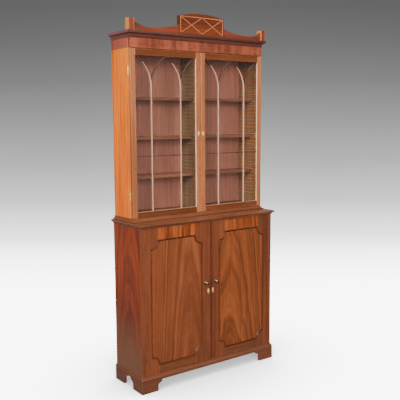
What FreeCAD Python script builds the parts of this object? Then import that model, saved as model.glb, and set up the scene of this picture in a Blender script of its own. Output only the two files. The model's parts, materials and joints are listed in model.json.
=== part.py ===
import FreeCAD, Part
import os
import re
import Sketcher
from FreeCAD import Rotation, Vector

# A glazed bookcase with adjustable shelves, standing on a two-door cupboard.
# Millimetres. X runs across the front, Y runs back, Z runs up from the floor.
# The origin is on the floor, at the middle of the whole outline. Depths are
# given forward from the flat back of the piece.

SIZES = {
    # plinth and bracket feet
    "plinth_height": 98, "plinth_thickness": 20, "plinth_side_projection": 9,
    "plinth_front_projection": 13, "plinth_bevel_height": 10, "front_foot_width": 112,
    "rear_foot_width": 105, "foot_straight_height": 38, "apron_height": 31,
    "bracket_reach": 26, "bracket_rise": 15, "bracket_radius": 34,
    "rear_rail_height": 40, "glue_block": 32, "glue_block_lift": 2,
    # cupboard
    "lower_width": 1000, "lower_depth": 310, "lower_case_height": 882,
    "lower_side_thickness": 22, "board_thickness": 18, "back_thickness": 8,
    "door_gap": 1, "door_end_gap": 2, "meeting_gap": 2,
    "lower_door_thickness": 20, "lower_hinge_stile": 43, "lower_meeting_stile": 62,
    "lower_top_rail": 70, "lower_bottom_rail": 50, "panel_thickness": 12,
    "panel_recess": 3, "corner_radius": 42, "corner_step": 8,
    "moulding_width": 9, "moulding_proud": 3, "batten_height": 20,
    "batten_thickness": 18, "batten_setback": 42, "batten_rise": 402,
    "lower_shelf_setback": 40, "sliding_gap": 0.3, "shelf_end_gap": 1,
    # waist moulding
    "waist_height": 24, "waist_projection": 18, "frame_width": 120,
    "nose_height": 12, "nose_radius": 7, "waist_cove_radius": 17, "nose_lip": 3,
    # glazed case
    "upper_setback": 11, "upper_depth": 196, "upper_case_height": 1032,
    "upper_side_thickness": 18, "base_height": 22, "base_projection": 18,
    "base_fillet": 5, "base_cove_radius": 26, "partition_thickness": 18,
    "upper_door_thickness": 20, "upper_stile": 32, "upper_top_rail": 37,
    "upper_bottom_rail": 34, "bar_width": 6, "bar_depth": 12,
    "bar_spacing": 205, "arch_height": 174, "pane_joint_height": 358,
    "pane_joint_width": 4, "glass_thickness": 3, "rebate_width": 7,
    "glass_gap": 1, "bead_width": 8, "bead_proud": 3,
    # shelves in their grooves
    "groove_height": 10, "groove_depth": 5, "groove_pitch": 23.2,
    "first_groove_height": 65, "last_groove_margin": 105, "shelf_thickness": 18,
    "shelf_setback": 53, "shelf_back_gap": 2,
    # frieze, cornice and crest
    "frieze_height": 56, "frieze_bead": 5, "frieze_bead_proud": 1.5,
    "cornice_height": 39, "cornice_projection": 21, "cornice_fillet": 14,
    "cornice_cove_radius": 30, "cornice_back": 18,
    "crest_setback": 2, "block_height": 66, "block_width": 34, "block_depth": 44,
    "block_inset": 7, "wing_thickness": 14, "wing_setback": 6,
    "wing_end_height": 52, "wing_low_height": 22, "wing_low_reach": 92,
    "wing_inner_height": 53, "wing_end_radius": 175, "wing_inner_radius": 680,
    "tablet_width": 326, "tablet_height": 106, "tablet_rise": 19,
    "tablet_thickness": 28, "string_width": 4.5, "string_depth": 1,
    "string_margin": 6,
    # brassware
    "hinge_height": 50, "knuckle_radius": 3, "pin_radius": 1.2,
    "leaf_thickness": 1.5, "leaf_reach": 15, "hinge_clearance": 0.3,
    "pin_clearance": 0.05, "upper_hinge_inset": 125, "lower_hinge_inset": 110,
    "knob_radius": 13.5, "knob_projection": 28, "knob_rose_radius": 10,
    "knob_rose_thickness": 2.5, "knob_neck_radius": 5, "knob_neck": 8,
    "knob_dome": 11.5, "knob_rim": 2, "rose_edge": 1,
    "knob_offset": 40, "knob_rise": 500, "lower_plate_rise": 445,
    "lower_plate_height": 34, "lower_plate_width": 14, "upper_plate_rise": 485,
    "upper_plate_height": 30, "upper_plate_width": 13, "plate_gap": 1.5,
    "plate_thickness": 1.5,
    "keyhole_radius": 2.2, "keyhole_slot": 2, "keyhole_drop": 7,
    "dummy_keyhole_depth": 3, "lock_thickness": 10, "lock_wall": 1.5,
    "upper_lock_height": 50, "lower_lock_depth": 38,
    "lower_lock_height": 60, "bolt_thickness": 5, "bolt_height": 16,
    "bolt_tail_room": 5, "bolt_setback": 0.5, "bolt_gap": 0.3,
    "strike_depth": 11,
}

# Levels and positions that follow from the sizes.
PLACES = {
    "lower_front_reach": "lower_depth + max(knob_projection, waist_projection)",
    "overall_depth": "max(lower_front_reach, upper_front + cornice_projection)",
    "back_y": "overall_depth / 2",
    "lower_half": "lower_width / 2",
    "lower_inside": "lower_half - lower_side_thickness",
    "lower_top": "plinth_height + lower_case_height",
    "waist_top": "lower_top + waist_height",
    "base_top": "waist_top + base_height",
    "upper_half": "lower_half - upper_setback",
    "upper_inside": "upper_half - upper_side_thickness",
    "upper_top": "base_top + upper_case_height",
    "upper_back": "upper_depth + door_gap",
    "upper_front": "upper_back + upper_door_thickness",
    "base_width": "base_projection + upper_door_thickness + door_gap",
    "frieze_bottom": "upper_top - frieze_height",
    "cornice_width": "cornice_projection + cornice_back",
    "cornice_top": "upper_top + cornice_height",
    "plinth_half": "lower_half + plinth_side_projection",
    "plinth_front_face": "lower_depth + plinth_front_projection",
    "plinth_inside": "plinth_half - plinth_thickness",
    "plinth_depth_inside": "plinth_front_face - plinth_thickness",
    "apron_bottom": "plinth_height - apron_height",
    "lower_door_back": "lower_depth - lower_door_thickness",
    "lower_door_bottom": "plinth_height + door_end_gap",
    "lower_door_top": "lower_top - door_end_gap",
    "lower_door_outer": "lower_inside - door_gap",
    "meeting_half": "meeting_gap / 2",
    "panel_inner": "meeting_half + lower_meeting_stile",
    "panel_outer": "lower_door_outer - lower_hinge_stile",
    "panel_bottom": "lower_door_bottom + lower_bottom_rail",
    "panel_top": "lower_door_top - lower_top_rail",
    "corner_square": "corner_radius + corner_step",
    "panel_front": "lower_depth - panel_recess",
    "batten_level": "plinth_height + batten_rise",
    "lower_shelf_bottom": "batten_level + batten_height + sliding_gap",
    "upper_door_bottom": "base_top + door_end_gap",
    "upper_door_top": "frieze_bottom - door_end_gap - door_gap",
    "opening_inner": "meeting_half + upper_stile",
    "opening_outer": "upper_half - upper_stile",
    "opening_middle": "(opening_inner + opening_outer) / 2",
    "opening_bottom": "upper_door_bottom + upper_bottom_rail",
    "opening_top": "upper_door_top - upper_top_rail",
    "spring_level": "opening_top - arch_height",
    "arch_run": "bar_spacing / 2",
    "arch_radius": "(arch_run ^ 2 + arch_height ^ 2) / (2 * arch_run)",
    "pane_joint_level": "base_top + pane_joint_height",
    "glass_front": "upper_front - bar_depth",
    "glass_back": "glass_front - glass_thickness",
    "partition_half": "partition_thickness / 2",
    "board_top": "base_top + board_thickness",
    "first_groove": "board_top + first_groove_height",
    "last_groove": "upper_top - board_thickness - last_groove_margin - groove_height",
    "groove_count": "floor((last_groove - first_groove) / groove_pitch) + 1",
    "shelf_back": "back_thickness + shelf_back_gap",
    "shelf_front": "upper_depth - shelf_setback",
    "tongue_height": "groove_height - 2 * sliding_gap",
    "crest_front": "upper_front + cornice_projection - crest_setback",
    "block_outer": "upper_half + cornice_projection - block_inset",
    "block_inner": "block_outer - block_width",
    "wing_front": "crest_front - wing_setback",
    "wing_back": "wing_front - wing_thickness",
    "tablet_half": "tablet_width / 2",
    "tablet_top": "cornice_top + tablet_height",
    "tablet_back": "crest_front - tablet_thickness",
    "tablet_radius": "(tablet_half ^ 2 + tablet_rise ^ 2) / (2 * tablet_rise)",
    "string_half": "tablet_half - string_margin - string_width / 2",
    "string_bottom": "cornice_top + string_margin",
    "string_top": "tablet_top - string_margin / 2",
    "string_middle": "string_top - string_width / 2",
    "axis_reach": "knuckle_radius + hinge_clearance",
    "upper_axis": "upper_half + axis_reach",
    "lower_axis": "lower_inside - door_gap / 2",
    "lower_axis_depth": "lower_depth + axis_reach",
    "upper_axis_depth": "upper_depth + door_gap / 2",
    "upper_hinge_low": "upper_door_bottom + upper_hinge_inset",
    "upper_hinge_high": "upper_door_top - upper_hinge_inset",
    "lower_hinge_low": "lower_door_bottom + lower_hinge_inset",
    "lower_hinge_high": "lower_door_top - lower_hinge_inset",
    "knob_dome_start": "knob_projection - knob_dome",
    "knob_dome_radius": "(knob_radius ^ 2 + knob_dome ^ 2) / (2 * knob_dome)",
    "knob_level": "lower_door_bottom + knob_rise",
    "lower_plate_level": "lower_door_bottom + lower_plate_rise",
    "upper_plate_level": "upper_door_bottom + upper_plate_rise",
    "plate_start": "meeting_half + bead_width + plate_gap",
    "lower_plate_offset": "plate_start + lower_plate_width / 2",
    "upper_plate_offset": "plate_start + upper_plate_width / 2",
    "upper_plate_radius": "(upper_plate_height ^ 2 + upper_plate_width ^ 2) / (4 * upper_plate_width)",
    "lower_plate_radius": "(lower_plate_height ^ 2 + lower_plate_width ^ 2) / (4 * lower_plate_width)",
    "upper_lock_depth": "upper_stile - rebate_width",
    "upper_lock_middle": "upper_back + upper_door_thickness / 2",
    "lower_lock_middle": "lower_door_back + lower_door_thickness / 2",
}

doc = FreeCAD.newDocument("bookcase")
nodes = []


# ---- sheets and formulas -------------------------------------------------

def full(formula):
    """Write the short names of a formula as references to their sheets."""
    def reference(match):
        word = match.group(0)
        if word in SIZES:
            return "Sizes." + word
        return "Places." + word if word in PLACES else word
    return re.sub(r"[a-z_]+", reference, str(formula))


def make_sheets():
    """Fill one sheet with the driving sizes and one with what follows from them."""
    sizes = doc.addObject("Spreadsheet::Sheet", "Sizes")
    for row, (name, size) in enumerate(SIZES.items(), 1):
        sizes.set("A%d" % row, name)
        sizes.set("B%d" % row, str(size))
        sizes.setAlias("B%d" % row, name)
    places = doc.addObject("Spreadsheet::Sheet", "Places")
    for row, name in enumerate(PLACES, 1):
        places.set("A%d" % row, name)
        places.setAlias("B%d" % row, name)
    for row, (name, formula) in enumerate(PLACES.items(), 1):
        places.set("B%d" % row, "=" + full(formula))
    doc.recompute()
    return sizes, places


sizes, places = make_sheets()


def value(formula):
    """The number that a formula gives now."""
    result = sizes.evalExpression(full(formula))
    return float(getattr(result, "Value", result))


def bind(thing, **formulas):
    """Bind properties to formulas; a double underscore stands for a dot."""
    for name, formula in formulas.items():
        thing.setExpression(name.replace("__", "."), full(formula))
    return thing


def locate(thing, x, depth, z):
    """Bind a piece's place, with its depth counted forward from the back."""
    return bind(thing, Placement__Base__x=x, Placement__Base__y="back_y - (%s)" % depth,
                Placement__Base__z=z)


# ---- plain shapes ----------------------------------------------------------

def block(name, x0, x1, d0, d1, z0, z1, side=1):
    """A box between two x, two depths and two heights; side -1 mirrors x."""
    if side < 0:
        x0, x1 = "-(%s)" % x1, "-(%s)" % x0
    shape = doc.addObject("Part::Box", name)
    bind(shape, Length="(%s) - (%s)" % (x1, x0), Width="(%s) - (%s)" % (d1, d0),
         Height="(%s) - (%s)" % (z1, z0))
    return locate(shape, x0, d1, z0)


def rod(name, x, depth, z, radius, length, direction):
    """A cylinder that starts at a place and runs along a direction."""
    shape = doc.addObject("Part::Cylinder", name)
    bind(shape, Radius=radius, Height=length)
    shape.Placement.Rotation = Rotation(Vector(0, 0, 1), direction)
    return locate(shape, x, depth, z)


def cut(name, base, *tools):
    """The base without its tools."""
    for count, tool in enumerate(tools, 1):
        result = doc.addObject("Part::Cut", name if count == len(tools) else "%s_%d" % (name, count))
        result.Base, result.Tool = base, tool
        base = result
    return base


def fuse(name, *shapes):
    """Several shapes as one solid."""
    result = doc.addObject("Part::MultiFuse", name)
    result.Shapes, result.Refine = list(shapes), True
    return result


def common(name, *shapes):
    """What several shapes share."""
    result = doc.addObject("Part::MultiCommon", name)
    result.Shapes = list(shapes)
    return result


def group(name, *shapes):
    """Several separate solids under one name."""
    result = doc.addObject("Part::Compound", name)
    result.Links = list(shapes)
    return result


def piece(shape, label):
    """Keep a shape as one named sub-part."""
    shape.Label = label
    nodes.append(shape)
    return shape


# ---- bodies from sketches --------------------------------------------------

def new_body(name):
    """A body whose own origin lies on the floor, at the back, in the middle."""
    return bind(doc.addObject("PartDesign::Body", name), Placement__Base__y="back_y")


def plane(body, role):
    """One of a body's own origin planes or axes."""
    return next(part for part in body.Origin.OriginFeatures if part.Role == role)


def arc_through(start, end, radius):
    """The shorter arc between two points; a positive radius bulges to the right."""
    chord = end - start
    side = Vector(chord.y, -chord.x, 0).normalize()
    sagitta = abs(radius) - (radius ** 2 - (chord.Length / 2) ** 2) ** 0.5
    middle = (start + end) / 2 + side * (sagitta if radius > 0 else -sagitta)
    return Part.Arc(start, middle, end)


def outline(body, name, role, corners, offset=0):
    """A closed sketch whose corners, and the radius of each curved side, are bound."""
    sketch = body.newObject("Sketcher::SketchObject", name)
    sketch.AttachmentSupport = (plane(body, role), [""])
    sketch.MapMode = "FlatFace"
    bind(sketch, AttachmentOffset__Base__z=offset)
    points = [Vector(value(corner[0]), value(corner[1]), 0) for corner in corners]
    ends = []
    for index, corner in enumerate(corners):
        start, end = points[index], points[(index + 1) % len(points)]
        if len(corner) == 3:
            bulge = value(corner[2])
            edge = sketch.addGeometry(arc_through(start, end, bulge), False)
            number = sketch.addConstraint(Sketcher.Constraint("Radius", edge, abs(bulge)))
            sketch.setExpression("Constraints[%d]" % number, full("abs(%s)" % corner[2]))
        else:
            edge = sketch.addGeometry(Part.LineSegment(start, end), False)
        first = 1 if (sketch.getPoint(edge, 1) - start).Length < 1e-6 else 2
        ends.append((edge, first, 3 - first))
    for index, corner in enumerate(corners):
        edge, first, _ = ends[index]
        before, _, last = ends[index - 1]
        sketch.addConstraint(Sketcher.Constraint("Coincident", before, last, edge, first))
        for kind, formula, number in (("DistanceX", corner[0], points[index].x),
                                      ("DistanceY", corner[1], points[index].y)):
            row = sketch.addConstraint(Sketcher.Constraint(kind, -1, 1, edge, first, number))
            sketch.setExpression("Constraints[%d]" % row, full(formula))
    return sketch


def pad(body, name, sketch, length, symmetric=False, backwards=False):
    """Raise a solid from a sketch."""
    feature = body.newObject("PartDesign::Pad", name)
    feature.Profile = sketch
    feature.SideType = "Symmetric" if symmetric else "One side"
    feature.Reversed = backwards
    return bind(feature, Length=length)


def pocket(body, name, sketch, length, backwards=False):
    """Cut a sketch's shape out of the body, and make sure that something was cut."""
    doc.recompute()
    before = body.Shape.Volume
    feature = body.newObject("PartDesign::Pocket", name)
    feature.Profile = sketch
    feature.Reversed = backwards
    bind(feature, Length=length)
    doc.recompute()
    if body.Shape.Volume > before - 1e-3:
        raise ValueError(name + " cuts nothing")
    return feature


# ---- mouldings with mitred corners ------------------------------------------

def flipped(corners, place, sign):
    """A profile's corners moved out to a face, and mirrored where it faces -x or -y."""
    moved = []
    for corner in corners:
        bulge = ["(%s) * %d" % (corner[2], sign)] if len(corner) == 3 else []
        moved.append(["%d * (%s + (%s))" % (sign, place, corner[0]), corner[1]] + bulge)
    return moved


def front_run(name, profile, half, depth, projection, width):
    """The front length of a moulding, mitred at both ends."""
    body = new_body(name)
    sketch = outline(body, name + "_profile", "YZ_Plane", flipped(profile, depth, -1))
    pad(body, name + "_length", sketch, "2 * (%s + %s)" % (half, projection), symmetric=True)
    for side in (-1, 1):
        outer = "%d * (%s + %s)" % (side, half, projection)
        inner = "%d * (%s + %s - (%s))" % (side, half, projection, width)
        front = "-(%s + %s)" % (depth, projection)
        back = "-(%s + %s) + (%s)" % (depth, projection, width)
        triangle = outline(body, "%s_mitre_%d" % (name, side + 1), "XY_Plane",
                           [(outer, front), (inner, back), (outer, back)])
        pocket(body, "%s_end_%d" % (name, side + 1), triangle, "cornice_top", backwards=True)
    return body


def side_run(name, profile, half, depth, front_projection, side_projection, width, side):
    """One side length of a moulding, mitred at its front end."""
    body = new_body(name)
    sketch = outline(body, name + "_profile", "XZ_Plane", flipped(profile, half, side))
    pad(body, name + "_length", sketch, "%s + %s" % (depth, front_projection))
    outer = "%d * (%s + %s)" % (side, half, side_projection)
    inner = "%d * (%s + %s - (%s))" % (side, half, side_projection, width)
    front = "-(%s + %s)" % (depth, front_projection)
    back = "-(%s + %s) + (%s)" % (depth, front_projection, width)
    triangle = outline(body, name + "_mitre", "XY_Plane", [(outer, front), (inner, front), (inner, back)])
    pocket(body, name + "_end", triangle, "cornice_top", backwards=True)
    return body


def moulding(name, profile, half, depth, projection, width):
    """A moulding round the front and both sides, in three mitred lengths."""
    runs = [front_run(name + "_front", profile, half, depth, projection, width)]
    for side, word in ((-1, "left"), (1, "right")):
        runs.append(side_run("%s_%s" % (name, word), profile, half, depth, projection,
                             projection, width, side))
    piece(group(name + "_group", *runs), name)


# ---- plinth -----------------------------------------------------------------

def bracket_cut(start, stop, level):
    """The opening under an apron between two bracket feet, with a shaped shoulder at each."""
    shoulder = "foot_straight_height + bracket_rise"
    return [(start, level), (start, "foot_straight_height", "-bracket_radius"),
            ("%s + bracket_reach" % start, shoulder), ("%s + bracket_reach" % start, "apron_bottom"),
            ("%s - bracket_reach" % stop, "apron_bottom"),
            ("%s - bracket_reach" % stop, shoulder, "-bracket_radius"),
            (stop, "foot_straight_height"), (stop, level)]


def plinth_profile(projection):
    """A board's edge with a bevel from the carcase face down to its outer face."""
    return [("%s - plinth_thickness" % projection, "0"), (projection, "0"),
            (projection, "plinth_height - plinth_bevel_height"), ("0", "plinth_height"),
            ("%s - plinth_thickness" % projection, "plinth_height")]


def make_plinth():
    """The mitred bracket plinth with its feet, rear rail and glue blocks."""
    body = new_body("plinth_front_body")
    sketch = outline(body, "plinth_front_profile", "YZ_Plane",
                     flipped(plinth_profile("plinth_front_projection"), "lower_depth", -1))
    pad(body, "plinth_front_length", sketch, "2 * plinth_half", symmetric=True)
    for side in (-1, 1):
        outer, inner = "%d * plinth_half" % side, "%d * plinth_inside" % side
        triangle = outline(body, "plinth_front_mitre_%d" % (side + 1), "XY_Plane",
                           [(outer, "-plinth_front_face"), (inner, "-plinth_depth_inside"),
                            (outer, "-plinth_depth_inside")])
        pocket(body, "plinth_front_end_%d" % (side + 1), triangle, "plinth_height", backwards=True)
    opening = outline(body, "plinth_front_opening", "XZ_Plane",
                      bracket_cut("-(plinth_half - front_foot_width)", "plinth_half - front_foot_width",
                                  "-plinth_thickness"))
    pocket(body, "plinth_front_feet", opening, "plinth_front_face + plinth_thickness", backwards=True)
    piece(body, "plinth_front")

    sides = []
    for side, word in ((-1, "left"), (1, "right")):
        name = "plinth_" + word
        body = new_body(name)
        sketch = outline(body, name + "_profile", "XZ_Plane",
                         flipped(plinth_profile("plinth_side_projection"), "lower_half", side))
        pad(body, name + "_length", sketch, "plinth_front_face")
        triangle = outline(body, name + "_mitre", "XY_Plane",
                           [("%d * plinth_half" % side, "-plinth_front_face"),
                            ("%d * plinth_inside" % side, "-plinth_front_face"),
                            ("%d * plinth_inside" % side, "-plinth_depth_inside")])
        pocket(body, name + "_end", triangle, "plinth_height", backwards=True)
        opening = outline(body, name + "_opening", "YZ_Plane",
                          bracket_cut("-(plinth_front_face - front_foot_width)", "-rear_foot_width",
                                      "-plinth_thickness"))
        pocket(body, name + "_feet", opening, "plinth_half + plinth_thickness", backwards=side > 0)
        sides.append(body)
    piece(group("plinth_sides_group", *sides), "plinth_side_brackets")

    piece(block("rear_rail", "-plinth_inside", "plinth_inside", "0", "plinth_thickness",
                "plinth_height - rear_rail_height", "plinth_height"), "plinth_rear_rail")
    blocks = []
    for side in (-1, 1):
        for word, near in (("rear", "plinth_thickness"), ("front", "plinth_depth_inside - glue_block")):
            bottom = "plinth_height - rear_rail_height" if word == "rear" else "glue_block_lift"
            blocks.append(block("glue_block_%s_%d" % (word, side + 1), "plinth_inside - glue_block",
                                "plinth_inside", near, "%s + glue_block" % near, bottom,
                                "plinth_height", side))
    piece(group("glue_blocks", *blocks), "plinth_glue_blocks")


# ---- hinges -----------------------------------------------------------------

# Five knuckles, numbered from the middle one: three on the carcase leaf, two on the door leaf.
KNUCKLE_COUNT = 5
HINGE_KNUCKLES = {"carcase": (-2, 0, 2), "door": (-1, 1)}


def hinge_leaf(name, kind):
    """One leaf of a butt hinge about the z axis, its plate reaching towards +x."""
    sign = 1 if kind == "carcase" else -1
    low = "door_gap / 2" if sign > 0 else "-(door_gap / 2 + leaf_thickness)"
    plate = doc.addObject("Part::Box", name + "_plate")
    bind(plate, Length="axis_reach + leaf_reach", Width="leaf_thickness", Height="hinge_height",
         Placement__Base__y=low, Placement__Base__z="-hinge_height / 2")
    room = doc.addObject("Part::Cylinder", name + "_room")
    bind(room, Radius="knuckle_radius + hinge_clearance", Height="hinge_height",
         Placement__Base__z="-hinge_height / 2")
    parts = [cut(name + "_plate_cut", plate, room)]
    for step in HINGE_KNUCKLES[kind]:
        gap = "0" if kind == "carcase" else "hinge_clearance"
        bottom = "hinge_height * (%d - 1 / 2) / %d + %s" % (step, KNUCKLE_COUNT, gap)
        height = "hinge_height / %d - 2 * %s" % (KNUCKLE_COUNT, gap)
        knuckle = doc.addObject("Part::Cylinder", "%s_knuckle_%d" % (name, step + 2))
        bind(knuckle, Radius="knuckle_radius", Height=height, Placement__Base__z=bottom)
        tab = doc.addObject("Part::Box", "%s_tab_%d" % (name, step + 2))
        bind(tab, Length="axis_reach + leaf_thickness", Width="leaf_thickness", Height=height,
             Placement__Base__y=low, Placement__Base__z=bottom)
        parts += [knuckle, tab]
    bore = doc.addObject("Part::Cylinder", name + "_bore")
    bind(bore, Radius="pin_radius" if sign > 0 else "pin_radius + pin_clearance", Height="hinge_height",
         Placement__Base__z="-hinge_height / 2")
    leaf = fuse(name + "_solid", *parts)
    return fuse(name + "_pinned", leaf, bore) if sign > 0 else cut(name + "_bored", leaf, bore)


# The place and turn of each door's hinges: x and y of the plate's reach, seen from above.
UPPER_TURN = {-1: Rotation(), 1: Rotation(Vector(0, 1, 0), 180)}
LOWER_TURN = {-1: Rotation(Vector(0, 0, 1), 90), 1: Rotation(Vector(1, 1, 0), 180)}


def place_leaf(name, kind, turn, x, depth, z):
    """One hinge leaf in its place."""
    leaf = hinge_leaf(name, kind)
    leaf.Placement.Rotation = turn
    return locate(leaf, x, depth, z)


def door_hinges(story, side, word):
    """Both hinges of a door: the door leaves as a sub-part, the carcase leaves returned."""
    turn = (UPPER_TURN if story == "upper" else LOWER_TURN)[side]
    leaves = {"carcase": [], "door": []}
    for kind in leaves:
        for end in ("low", "high"):
            name = "%s_%s_%s_leaf_%s" % (story, word, kind, end)
            leaves[kind].append(place_leaf(name, kind, turn, "%d * %s_axis" % (side, story),
                                           "%s_axis_depth" % story, "%s_hinge_%s" % (story, end)))
    piece(group("%s_%s_leaves" % (story, word), *leaves["door"]), "%s_%s_door_hinge_leaves" % (story, word))
    return leaves["carcase"]


def hinge_recesses(story, side, kind, name):
    """Shallow recesses for a door's two hinge leaves, in the carcase or in the door."""
    tools = []
    for end in ("low", "high"):
        level = "%s_hinge_%s" % (story, end)
        low, high = level + " - hinge_height / 2", level + " + hinge_height / 2"
        label = "%s_%s" % (name, end)
        if story == "upper":
            near, far = (("upper_depth - leaf_thickness", "upper_depth") if kind == "carcase"
                         else ("upper_back", "upper_back + leaf_thickness"))
            tools.append(block(label, "upper_half - leaf_reach", "upper_half", near, far, low, high, side))
        else:
            near, far = (("lower_inside", "lower_inside + leaf_thickness") if kind == "carcase"
                         else ("lower_door_outer - leaf_thickness", "lower_door_outer"))
            tools.append(block(label, near, far, "lower_depth - leaf_reach", "lower_depth", low, high, side))
    return tools


# ---- cupboard carcase ---------------------------------------------------------

def make_lower_carcase():
    """The cupboard's sides, boards, back and shelf battens."""
    for side, word in ((-1, "left"), (1, "right")):
        name = "lower_%s_side" % word
        board = block(name + "_board", "lower_inside", "lower_half", "0", "lower_depth",
                      "plinth_height", "lower_top", side)
        piece(cut(name + "_cut", board, *hinge_recesses("lower", side, "carcase", name)), name)
    for word, bottom in (("bottom", "plinth_height"), ("top", "lower_top - board_thickness")):
        piece(block("lower_%s" % word, "-lower_inside", "lower_inside", "back_thickness",
                    "lower_door_back - door_gap", bottom, bottom + " + board_thickness"),
              "lower_%s_board" % word)
    piece(block("lower_back", "-lower_inside", "lower_inside", "0", "back_thickness",
                "plinth_height", "lower_top"), "lower_back_panel")
    battens = [block("batten_%d" % (side + 1), "lower_inside - batten_thickness", "lower_inside",
                     "back_thickness", "lower_door_back - batten_setback", "batten_level",
                     "batten_level + batten_height", side) for side in (-1, 1)]
    piece(group("battens", *battens), "lower_shelf_battens")


def make_lower_shelf():
    """The cupboard's loose shelf, which slides forward on its battens."""
    edge = "lower_inside - shelf_end_gap"
    piece(block("cupboard_shelf", "-(%s)" % edge, edge, "shelf_back", "lower_door_back - lower_shelf_setback",
                "lower_shelf_bottom", "lower_shelf_bottom + shelf_thickness"), "lower_shelf")


# ---- mouldings of the two stages ----------------------------------------------

def make_waist_moulding():
    """The frame on top of the cupboard, with a rounded nose over a cove."""
    profile = [("waist_projection - frame_width", "lower_top"),
               ("nose_lip", "lower_top", "-waist_cove_radius"),
               ("waist_projection - nose_lip", "waist_top - nose_height"),
               ("waist_projection", "waist_top - nose_height + nose_lip"),
               ("waist_projection", "waist_top - nose_radius", "nose_radius"),
               ("waist_projection - nose_radius", "waist_top"),
               ("waist_projection - frame_width", "waist_top")]
    moulding("waist_moulding", profile, "lower_half", "lower_depth", "waist_projection", "frame_width")


def make_base_moulding():
    """The frame under the glazed case, hollowed up to the case from a small fillet."""
    profile = [("base_projection - base_width", "waist_top"), ("base_projection", "waist_top"),
               ("base_projection", "waist_top + base_fillet", "-base_cove_radius"),
               ("0", "base_top"), ("base_projection - base_width", "base_top")]
    moulding("upper_base_moulding", profile, "upper_half", "upper_front", "base_projection", "base_width")


def make_cornice():
    """The cornice: a cove up to a square fillet."""
    profile = [("-cornice_back", "upper_top"), ("0", "upper_top", "-cornice_cove_radius"),
               ("cornice_projection - nose_lip", "cornice_top - cornice_fillet"),
               ("cornice_projection", "cornice_top - cornice_fillet"),
               ("cornice_projection", "cornice_top"), ("-cornice_back", "cornice_top")]
    moulding("cornice", profile, "upper_half", "upper_front", "cornice_projection", "cornice_width")


# ---- glazed case ----------------------------------------------------------------

def grooved_board(name, x0, x1, grooves):
    """An upright board with a ladder of shelf grooves; each groove is an x range."""
    body = new_body(name + "_body")
    sketch = outline(body, name + "_plan", "XY_Plane",
                     [(x0, "0"), (x1, "0"), (x1, "-upper_depth"), (x0, "-upper_depth")], "base_top")
    pad(body, name + "_height", sketch, "upper_case_height")
    cuts = []
    for count, (g0, g1) in enumerate(grooves):
        slot = outline(body, "%s_groove_%d" % (name, count), "XZ_Plane",
                       [(g0, "first_groove"), (g1, "first_groove"),
                        (g1, "first_groove + groove_height"), (g0, "first_groove + groove_height")])
        cuts.append(pocket(body, "%s_slot_%d" % (name, count), slot, "upper_depth", backwards=True))
    ladder = body.newObject("PartDesign::LinearPattern", name + "_ladder")
    ladder.Originals = cuts
    ladder.Direction = (plane(body, "Z_Axis"), [""])
    ladder.Mode = "Spacing"
    bind(ladder, Offset="groove_pitch", Occurrences="groove_count")
    body.Tip = ladder
    return body


def make_upper_carcase():
    """The glazed case's sides, partition, boards and back."""
    for side, word in ((-1, "left"), (1, "right")):
        name = "upper_%s_side" % word
        inside, outside = "%d * upper_inside" % side, "%d * upper_half" % side
        board = grooved_board(name, inside, outside,
                              [(inside, "%d * (upper_inside + groove_depth)" % side)])
        piece(cut(name + "_cut", board, *hinge_recesses("upper", side, "carcase", name)), name)
    floor, ceiling = "board_top", "upper_top - board_thickness"
    grooves = [("%d * partition_half" % side, "%d * (partition_half - groove_depth)" % side)
               for side in (-1, 1)]
    body = grooved_board("partition", "-partition_half", "partition_half", grooves)
    limit = block("partition_limit", "-partition_half", "partition_half", "back_thickness", "upper_depth",
                  floor, ceiling)
    piece(common("partition_trimmed", body, limit), "centre_partition")
    for word, bottom, top in (("bottom", "base_top", floor), ("top", ceiling, "upper_top")):
        piece(block("upper_" + word, "-upper_inside", "upper_inside", "back_thickness", "upper_depth",
                    bottom, top), "upper_%s_board" % word)
    piece(block("upper_back_board", "-upper_inside", "upper_inside", "0", "back_thickness",
                "base_top", "upper_top"), "upper_back_panel")


SHELF_GROOVES = {"lower": 6, "middle": 16, "upper": 26}


def make_upper_shelves():
    """Six shelves whose end tongues slide in the grooves."""
    for side, bay in ((-1, "left"), (1, "right")):
        for level, groove in SHELF_GROOVES.items():
            name = "%s_%s_shelf" % (bay, level)
            bottom = "first_groove + %d * groove_pitch + sliding_gap" % groove
            board = block(name + "_board", "partition_half + sliding_gap", "upper_inside - sliding_gap",
                          "shelf_back", "shelf_front", bottom, bottom + " + shelf_thickness", side)
            reach = "groove_depth - sliding_gap"
            tongue = block(name + "_tongue", "partition_half - (%s)" % reach, "upper_inside + (%s)" % reach,
                           "shelf_back", "shelf_front", bottom, bottom + " + tongue_height", side)
            piece(fuse(name + "_solid", board, tongue), name)


# ---- frieze and crest -------------------------------------------------------------

def make_frieze():
    """The frieze board over the doors, with a bead along its lower edge."""
    board = block("frieze_board", "-upper_half", "upper_half", "upper_depth", "upper_front",
                  "frieze_bottom", "upper_top")
    bead = block("frieze_bead_strip", "-upper_half", "upper_half", "upper_depth",
                 "upper_front + frieze_bead_proud", "frieze_bottom", "frieze_bottom + frieze_bead")
    piece(fuse("frieze_solid", board, bead), "frieze")


def string_line(name, x0, z0, x1, z1):
    """A straight inlaid line between two points of the tablet's face."""
    body = new_body(name)
    length = "sqrt((%s - (%s)) ^ 2 + (%s - (%s)) ^ 2)" % (x1, x0, z1, z0)
    across = "string_width / 2 * (%s - (%s)) / %s" % (z1, z0, length)
    up = "string_width / 2 * (%s - (%s)) / %s" % (x1, x0, length)
    corners = [("%s + %s" % (x0, across), "%s - %s" % (z0, up)),
               ("%s + %s" % (x1, across), "%s - %s" % (z1, up)),
               ("%s - %s" % (x1, across), "%s + %s" % (z1, up)),
               ("%s - %s" % (x0, across), "%s + %s" % (z0, up))]
    sketch = outline(body, name + "_line", "XZ_Plane", corners, "crest_front - string_depth")
    pad(body, name + "_inlay", sketch, "string_depth")
    return body


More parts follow.
